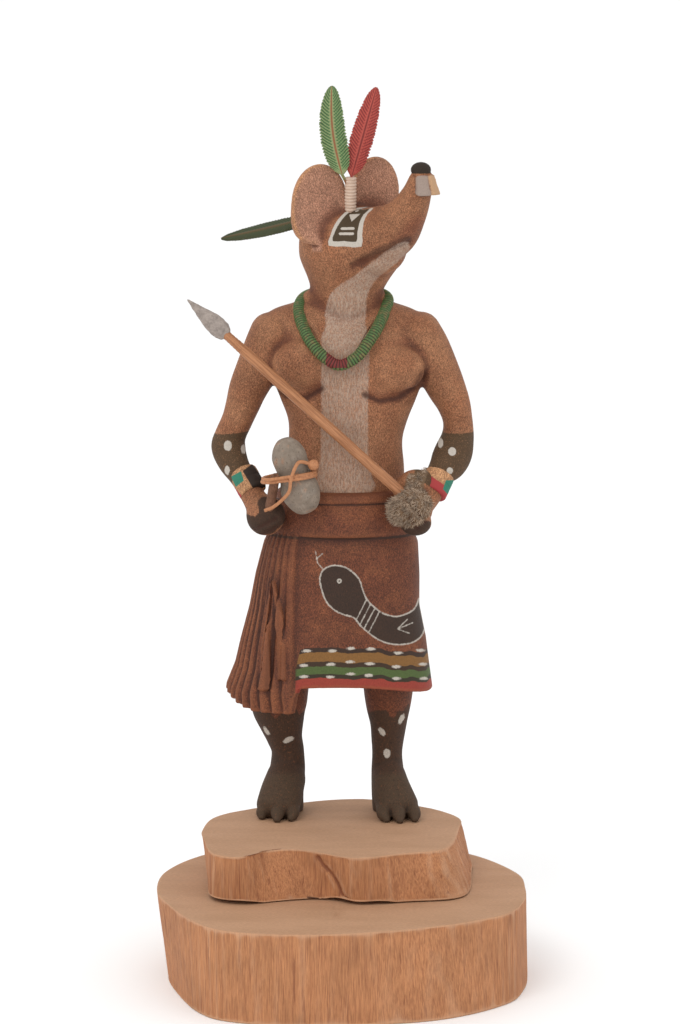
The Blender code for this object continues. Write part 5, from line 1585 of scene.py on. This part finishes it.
def necklace_finish():
    f = Finish("necklace_paint", "bead_green", "bead_brown", (900.0, 900.0, 900.0), 0.6)
    f.colour = blend(f.tree, ramp(f.tree, noise(f.tree, f.place, 520.0, 3.0), 0.46, 0.66, 0.0, 0.5),
                     tone("bead_green"), tone("bead_brown"))
    f.paint("red", "bead_red", 0.2, 0.3, 0.8)
    # Dark between the beads: partly bare wood, partly painted shade in the grooves
    f.coat(ramp(f.tree, field(f.tree, "groove"), 0.2, 0.75), "leg_dark", None, 0.75)
    f.shade(f.fine, 0.3, 0.7, 0.8, 1.2)
    return f.done(0.3)


def cuff_finish():
    f = Finish("cuff_paint", "cuff_tan", "stain", (1300.0, 1300.0, 300.0))
    wood_ground(f, "stain_dark", 0.4)
    f.paint("red", "cuff_red", 0.15, 0.3, 0.75)
    f.paint("brown", "leg_dark", 0.15, 0.3, 0.75)
    f.paint("blue", "turquoise", 0.12, 0.2, 0.82)
    f.paint("white", "white", 0.12, 0.2, 0.8)
    return f.done(0.4)


# Small pieces


def cuff_pieces():
    bm = bmesh.new()
    profile = [(0.0, -1.4), (0.02, -0.3), (0.08, 0.0), (0.3, 0.05), (0.46, 0.0), (0.49, -0.2), (0.52, 0.0),
               (0.7, 0.05), (0.92, 0.0), (0.98, -0.3), (1.0, -1.4)]
    shares = np.linspace(0, 1, 50)
    for start, end, radius in (RIGHT_CUFF, LEFT_CUFF):
        radii = radius + np.interp(shares, *np.array(profile).T)
        turned(bm, start, end, list(zip(shares, radii)), 120)
    obj = mesh_object("bracelets", bm)
    points, normals = points_of(obj.data)
    uneven = CUFF_UNEVENNESS * ripple(points, (5.0, 5.0, 5.0), 12)
    move_points(obj.data, points + np.array(GROUND) + normals * uneven[:, None])
    points, normals = points_of(obj.data)
    seen = in_picture(points)
    own = points - np.array(GROUND)
    right = own[:, 0] < 0
    behind = np.where(right, own @ np.array(AXIS_RIGHT) - CUFF_END_RIGHT + 4.6,
                      own @ np.array(AXIS_LEFT) - CUFF_END_LEFT + 4.8)
    front = -normals[:, 1] > 0.0
    red = together(patch(seen, CUFF_RED_RIGHT, 1), patch(seen, CUFF_RED_LEFT, 1))
    store(obj.data, "red", np.where(front, red, behind))
    store(obj.data, "blue", in_front(together(patch(seen, CUFF_BLUE_RIGHT, 1),
                                              patch(seen, CUFF_BLUE_LEFT, 1)), normals, 0))
    store(obj.data, "brown", in_front(patch(seen, CUFF_BROWN_RIGHT, 1), normals, 0))
    store(obj.data, "white", together(*[spot(seen, *values) for values in CUFF_WHITE_LEFT]))
    dress(obj, cuff_finish(), "figure")
    return obj


def necklace_piece(tree):
    path = path_object("necklace_path", [place_of(p) for p in curve_through(NECKLACE, 12, closed=True)], True)
    obj = grow("necklace", path, tree, Radius=NECKLACE_RADIUS * MM, Pitch=1.2 * MM, Depth=0.2, Sides=28,
               Material=necklace_finish())
    bpy.data.objects.remove(path)
    points, normals = points_of(obj.data)
    seen = in_picture(points)
    away = line_distance(points, [place_of(p) for p in curve_through(NECKLACE, 12, closed=True)])
    store(obj.data, "groove", (1 - away / NECKLACE_RADIUS) / 0.2)
    store(obj.data, "red", in_front(patch(seen,
                                          [(327.0, 350.0), (346.6, 352.0), (347.6, 368.0), (325.0, 368.0)],
                                          1),
                                    np.zeros_like(normals) - 1))
    dress(obj, obj.data.materials[0], "figure")
    return obj


def feather_piece(name, rows=260, columns=48):
    """A carved feather: a thin leaf with cut barbs, a raised shaft, a notched edge and a round quill."""
    foot, base, tip, half_width, bow, flat_side = FEATHERS[name]
    foot, base, tip = place_of(foot), place_of(base), place_of(tip)
    along = (tip - base).normalized()
    side = along.cross(Vector(flat_side)).normalized()
    face = side.cross(along)
    if side.x < 0:
        side = -side
    length = (tip - base).length
    outline = np.array(FEATHER_OUTLINE)
    draw = np.random.default_rng(SEED + len(name))
    notches = draw.uniform(0.0, 1.0, 60)
    rings = [cross_ring(foot, side, face, QUILL_RADIUS, QUILL_RADIUS, columns)]
    grooves, ribs = [np.zeros(columns)], [np.ones(columns)]
    for share in np.linspace(0.0, 1.0, rows):
        centre = base.lerp(tip, share * 0.984) + side * (bow * math.sin(math.pi * share))
        wide = max(float(np.interp(share, *outline.T)) * half_width, QUILL_RADIUS)
        thick = max(FEATHER_THICKNESS / 2 * (1 - 0.5 * share), 0.2)
        ring, groove, rib = [], [], []
        for a in np.arange(columns) * 2 * math.pi / columns:
            across = math.cos(a)
            barb = (share * length - abs(across) * half_width * 0.75) / BARB_PITCH
            cut = abs(math.sin(math.pi * barb))
            deep = (1 - cut) * smooth_step(0.12, 0.3, abs(across)) * smooth_step(0.03, 0.1, share)
            notch = 1 - 0.22 * deep * notches[int(barb) % 60] if abs(across) > 0.7 else 1.0
            on_rib = 1 - smooth_step(0.05, 0.13, abs(across))
            body = 0.72 * math.sqrt(max(1 - across * across, 0)) + 0.28 * on_rib
            lift = math.copysign(body, math.sin(a)) * thick - math.copysign(0.32 * deep, math.sin(a)) * body
            ring.append(centre + side * (wide * notch * across) + face * lift)
            groove.append(deep)
            rib.append(on_rib)
        rings.append(ring)
        grooves.append(np.array(groove))
        ribs.append(np.array(rib))
    bm = bmesh.new()
    skin(bm, rings)
    obj = mesh_object("carved_" + name, bm)
    extra = len(obj.data.vertices) - len(rings) * columns
    store(obj.data, "groove", np.concatenate([*grooves, np.zeros(extra)]))
    store(obj.data, "rib", np.concatenate([*ribs, np.zeros(extra)]))
    return obj


def post_piece(tree):
    """The peg, with thread wound closely round it."""
    top = place_of(POST_TOP)
    foot = place_of(POST_FOOT)
    path = path_object("post_path", [foot.lerp(top, t) for t in np.linspace(0, 1, 12)])
    obj = grow("thread_post", path, tree, Radius=POST_RADIUS * MM, Pitch=1.3 * MM, Depth=0.14, Sides=40,
               Material=post_finish())
    bpy.data.objects.remove(path)
    away = line_distance(points_of(obj.data)[0], [foot, top])
    store(obj.data, "groove", (1 - away / POST_RADIUS) / 0.14)
    dress(obj, obj.data.materials[0], "feather_post")
    return obj


def post_finish():
    f = Finish("post_thread", "thread", "thread_dark", (300.0, 300.0, 1500.0), 0.85)
    f.flecks("thread_dark", 900.0, 0.6, 0.4)
    # Painted shade in the grooves between the windings
    f.coat(ramp(f.tree, field(f.tree, "groove"), 0.3, 0.9), "thread_dark", None, 0.8)
    return f.done(0.4)


def spear_line():
    away = -(CHEST_FRONT + CLEARANCE + SPEAR_RADIUS)
    butt = place_of((SPEAR_BUTT[0], away, SPEAR_BUTT[1]))
    point = place_of((SPEAR_POINT[0], away + SPEAR_TIP_SWING, SPEAR_POINT[1]))
    return butt, point


def spear_pieces():
    butt, point = spear_line()
    along = (point - butt).normalized()
    neck = point - along * SPEAR_HEAD_LENGTH
    length = (neck - butt).length
    shares = np.concatenate([[0.0, 0.003], np.linspace(0.01, 0.9, 40), np.linspace(0.9, 1.0, 60)[1:]])
    profile = []
    for share in shares:
        radius = SPEAR_RADIUS * (1 - 0.16 * smooth_step(0.86, 1.0, share))
        if share > 0.9:
            radius *= 1 - 0.05 * abs(math.sin(share * length / 1.7 * math.pi)) ** 8
        if share < 0.002:
            radius *= 0.86
        profile.append((share, radius))
    bm = bmesh.new()
    turned(bm, butt, neck + along * 1.3, profile, 40)
    shaft = mesh_object("spear_dowel", bm)
    points, normals = points_of(shaft.data)
    uneven = SHAFT_UNEVENNESS * ripple(points, (12.0, 12.0, 12.0), 13) - SHAFT_WEAR
    move_points(shaft.data, points + normals * uneven[:, None])
    dress(shaft, shaft_finish(along), "spear_shaft")

    outline = [(0.0, 0.3), (0.005, 0.46), (0.04, 0.72), (0.14, 0.93), (0.26, 1.0), (0.42, 0.9), (0.62, 0.64),
               (0.82, 0.36), (0.97, 0.14), (1.0, 0.02)]
    shares = np.linspace(0, 1, 90)
    profile = [(s, float(np.interp(s, *np.array(outline).T)) * SPEAR_HEAD_WIDTH / 2) for s in shares]
    bm = bmesh.new()
    turned(bm, neck, point, profile, 64, 0.62)
    head = mesh_object("spear_point", bm)
    points, normals = points_of(head.data)
    chips = ripple(points, (4.0, 4.0, 4.0), 14, 4)
    move_points(head.data, points - normals * (0.16 * (1 + chips))[:, None])
    dress(head, plain_finish("point_paint", "point", "point_dark", (500.0, 500.0, 500.0), 0.6, 0.5, 0.5,
                             900.0, 0.6),
          "spear_head")
    return shaft, head


def shaft_finish(along):
    """Straight grain that runs with the shaft."""
    f = Finish("shaft_wood", "shaft", "shaft_dark", (1.0, 1.0, 1.0), 0.55)
    turn = Vector(along).rotation_difference(Vector((0, 0, 1))).to_euler()
    run = add_node(f.tree, "ShaderNodeMapping", {"Vector": f.place, "Rotation": tuple(turn)}).outputs[0]
    streak = noise(f.tree, stretched(f.tree, run, (1700.0, 1700.0, 90.0)), 0.8, 4.0, 0.65)
    f.colour = blend(f.tree, ramp(f.tree, streak, 0.36, 0.68), tone("shaft"), tone("shaft_dark"))
    fine = noise(f.tree, stretched(f.tree, run, (5000.0, 5000.0, 260.0)), 0.8, 3.0, 0.6)
    f.shade(fine, 0.3, 0.7, 0.84, 1.12)
    f.height = fine
    return f.done(0.35)


def stone_place():
    away = -(BELLY_FRONT + CLEARANCE + STONE_WIDTH / 2)
    return Matrix.Translation(place_of((STONE_AT[0], away, STONE_AT[1]))) @ Matrix.Rotation(
        math.radians(-STONE_LEAN), 4, "Y")


def club_pieces():
    place = stone_place()
    rows = curve_through(STONE_PROFILE, 8)
    bm = bmesh.new()
    rings = []
    for share, wide in rows:
        half = STONE_WIDTH / 2 * max(wide, 0.02)
        centre = Vector((0, 0, share * STONE_LENGTH))
        ring = cross_ring(centre, Vector((1, 0, 0)), Vector((0, 1, 0)), half, half * STONE_FLATNESS, 90)
        rings.append([place @ p for p in ring])
    skin(bm, rings)
    stone = mesh_object("stone_head", bm)
    points, normals = points_of(stone.data)
    lumps = ripple(points, (11.0, 11.0, 11.0), 15, 3)
    move_points(stone.data, points - normals * (0.2 * (1 + lumps))[:, None])
    f = Finish("stone_paint", "stone", "stone_dark", (160.0, 160.0, 160.0), 0.62)
    f.coat(ramp(f.tree, noise(f.tree, f.place, 160.0, 3.0, 0.6), 0.5, 0.68), "stone_light", None, 0.45)
    f.coat(ramp(f.tree, noise(f.tree, stretched(f.tree, f.place, (200.0, 200.0, 120.0)), 1.3, 3.0, 0.6), 0.54,
                0.7),
           "thong", None, 0.35)
    f.flecks("stone_dark", 1500.0, 0.6, 0.6)
    f.shade(f.fine, 0.3, 0.7, 0.86, 1.1)
    dress(stone, f.done(0.5), "club_stone")

    start, end = place_of(HAFT_FOOT), place_of(HAFT_TOP)
    profile = [(s, HAFT_RADIUS * (1 - 0.35 * smooth_step(0.9, 1.0, s) ** 2)) for s in np.linspace(0, 1, 60)]
    bm = bmesh.new()
    turned(bm, start, end, profile + [(1.0, HAFT_RADIUS * 0.3), (0.97, HAFT_RADIUS * 0.2)], 48,
           front=(1, 0, 0))
    haft = mesh_object("stick_haft", bm)
    points, normals = points_of(haft.data)
    move_points(haft.data, points - normals * (0.12 * (1 + ripple(points, (3.0, 3.0, 14.0), 16)))[:, None])
    dress(haft, plain_finish("haft_wood", "haft", "haft_dark", (1500.0, 1500.0, 200.0), 0.8, 0.6, 0.6),
          "club_haft")
    lacing_piece(place)


def wrap_point(turn, ovals):
    """The point furthest out at a turn, on ovals given as centre and half sizes in plan."""
    d = Vector((math.cos(turn), math.sin(turn)))
    reach = []
    for centre, half in ovals:
        size = math.hypot(half[0] * d.x, half[1] * d.y)
        point = Vector(centre) + Vector((half[0] ** 2 * d.x, half[1] ** 2 * d.y)) / size
        reach.append((point.dot(d), point.x, point.y))
    return max(reach)[1:]


def lacing_piece(place, steps=120):
    """Two turns of lace round the stone's waist and the haft, a knot, and the end led down to the hand."""
    clear = CLEARANCE + LACE_RADIUS
    waist = STONE_WIDTH / 2 * STONE_WAIST
    waist_depth = waist * STONE_FLATNESS
    top, foot = (place.inverted() @ p for p in (place_of(HAFT_TOP), place_of(HAFT_FOOT)))
    upright = (top.z - foot.z) / (top - foot).length
    haft_half = HAFT_RADIUS / upright + clear + CLEARANCE
    haft_deep = haft_half + LACE_SLACK

    def haft_at(height):
        return top.lerp(foot, (top.z - height) / (top.z - foot.z))

    bm = bmesh.new()
    for turn_height in (2 * LACE_RADIUS * lift for lift in LACE_TURNS):
        haft = haft_at(turn_height)
        ovals = [((0, 0), (waist + clear, waist_depth + clear)), ((haft.x, haft.y), (haft_half, haft_deep))]
        points = []
        for turn in np.arange(steps) * 2 * math.pi / steps:
            x, y = wrap_point(turn, ovals)
            points.append(place @ Vector((x, y, turn_height + LACE_SLOPE * x)))
        tube(bm, points, LACE_RADIUS, closed=True)
    right, front = waist + clear, waist_depth + clear
    knot = Vector(KNOT_SET) + Vector((right, 0, 0))
    ball(bm, place @ knot, [KNOT_RADIUS] * 3)
    low = haft_at(LACE_END_HEIGHT)
    over = Vector((low.x, min(low.y - haft_deep, -front), LACE_END_HEIGHT))
    route = [knot, Vector(LACE_LEAVE) + Vector((right, -front, 0))]
    route += [Vector(point) - Vector((0, front, 0)) for point in LACE_OVER]
    route += [over + Vector(point) for point in LACE_END]
    tube(bm, [place @ Vector(p) for p in curve_through(route, 12)], LACE_RADIUS)
    obj = mesh_object("thong_lacing", bm)
    remesh(obj, LACE_VOXEL, 4)
    store(obj.data, "hollow", hollowness(obj.data))
    f = Finish("thong_leather", "thong", "thong_dark", (700.0, 700.0, 700.0), 0.6)
    f.shade(f.fine, 0.3, 0.7, 0.85, 1.12)
    # Painted shade in the creases of the lacing and painted highlight on its ridges
    f.creases("thong_dark", "shaft", 0.12, 0.8)
    dress(obj, f.done(0.4), "club_lacing")


def fur_piece(torso, tree):
    """Hairs on the covering of the spear hand."""
    source = torso.data
    values = np.empty(len(source.vertices), np.float32)
    source.attributes["fur"].data.foreach_get("value", values)
    bm = bmesh.new()
    bm.from_mesh(source)
    bm.verts.ensure_lookup_table()
    bare = [v for v in bm.verts if values[v.index] < 0.6]
    bmesh.ops.delete(bm, geom=bare, context="VERTS")
    patch_mesh = mesh_object("fur_ground", bm)
    obj = grow("hand_fur", patch_mesh, tree, Density=2.6e6, Length=2.0 * MM, Radius=0.2 * MM,
               Lean=(-0.7, 0.2, -0.9), Material=fur_finish())
    bpy.data.objects.remove(patch_mesh)
    dress(obj, obj.data.materials[0], "figure")
    return obj


def fur_finish():
    f = Finish("fur_hair", "fur", "fur_dark", (800.0, 800.0, 500.0), 0.8)
    f.shade(noise(f.tree, f.place, 420.0, 2.0), 0.35, 0.65, 0.62, 1.2)
    return f.done(0.1)


# The stage

def area_light(name, place, target, size, power, colour=(1.0, 1.0, 1.0)):
    light = bpy.data.lights.new(name, "AREA")
    light.size = size
    light.energy = power
    light.color = colour
    obj = bpy.data.objects.new(name, light)
    bpy.context.scene.collection.objects.link(obj)
    obj.location = Vector(place)
    obj.rotation_euler = (Vector(target) - obj.location).to_track_quat("-Z", "Y").to_euler()


def stage():
    scene = bpy.context.scene
    scene.view_settings.view_transform = "Standard"
    bm = bmesh.new()
    bmesh.ops.create_grid(bm, x_segments=1, y_segments=1, size=60.0)
    floor = mesh_object("floor", bm)
    material = bpy.data.materials.new("floor_paper")
    material.use_nodes = True
    material.node_tree.nodes["Principled BSDF"].inputs["Base Color"].default_value = (0.96, 0.96, 0.96, 1)
    material.node_tree.nodes["Principled BSDF"].inputs["Roughness"].default_value = 0.9
    floor.data.materials.append(material)
    world = bpy.data.worlds.new("studio")
    world.use_nodes = True
    world.node_tree.nodes["Background"].inputs["Color"].default_value = (1.0, 1.0, 1.0, 1)
    world.node_tree.nodes["Background"].inputs["Strength"].default_value = 1.06
    scene.world = world
    area_light("key", (-0.7, -1.2, 1.7), (0, 0, 0.2), 0.9, 9.0, (1.0, 0.98, 0.95))


def camera():
    data = bpy.data.cameras.new("camera")
    data.lens = LENS
    data.sensor_width = SENSOR
    obj = bpy.data.objects.new("camera", data)
    bpy.context.scene.collection.objects.link(obj)
    obj.location = CAMERA_AT * MM
    obj.rotation_euler = (math.radians(90 - CAMERA_DOWN), 0, 0)
    bpy.context.scene.camera = obj


def main():
    camera()
    stage()
    base = slab_piece("lower_slab", slab_points(BASE_BOTTOM, BASE_TOP, BASE_HALF, (0, 0), 0.0, BASE_TOP_Z),
                      carve_base)
    dress(base, slab_finish("base_wood", "wood", "wood_dark", "bark", "bark_dark", 700.0), "lower_base")
    slab = slab_piece("upper_slab",
                      slab_points(SLAB_BOTTOM, SLAB_TOP, SLAB_HALF, SLAB_MIDDLE, SLAB_LOW_Z, SLAB_TOP_Z),
                      carve_slab)
    dress(slab, slab_finish("slab_wood", "wood", "wood_dark", "bark", "bark_dark", 760.0), "upper_base")

    torso = join_forms("torso", upper_soft, upper_crisp, BODY_VOXEL)
    set_in_place(torso)
    head = split_off(torso, "head", above_necklace(face_centres(torso.data)))
    paint_head(head.data)
    paint_torso(torso.data)
    dress(head, head_finish(), "figure")
    dress(torso, torso_finish(), "figure")

    kilt = join_forms("kilt", lambda bm: [ball(bm, *values) for values in HIPS], kilt_forms, KILT_VOXEL)
    set_in_place(kilt)
    paint_kilt(kilt.data)
    dress(kilt, kilt_finish(), "figure")

    legs = join_forms("legs", legs_soft, toes, LEG_VOXEL)
    set_in_place(legs)
    paint_legs(legs.data)
    dress(legs, legs_finish(), "figure")

    ribbed = ribbed_cord_tree()
    cuff_pieces()
    necklace_piece(ribbed)
    post_piece(ribbed)
    for name, tones in (("feather_green", ("plume_green", "plume_green_dark", "quill", "plume_green_light")),
                        ("feather_red", ("plume_red", "plume_red_dark", "plume_red_dark", "plume_red_light")),
                        ("feather_back", ("plume_back", "plume_back_dark", "plume_back_light",
                                          "plume_back_light"))):
        dress(feather_piece(name), feather_finish(name + "_paint", *tones), name)
    spear_pieces()
    club_pieces()
    fur_piece(torso, fur_tree())


main()
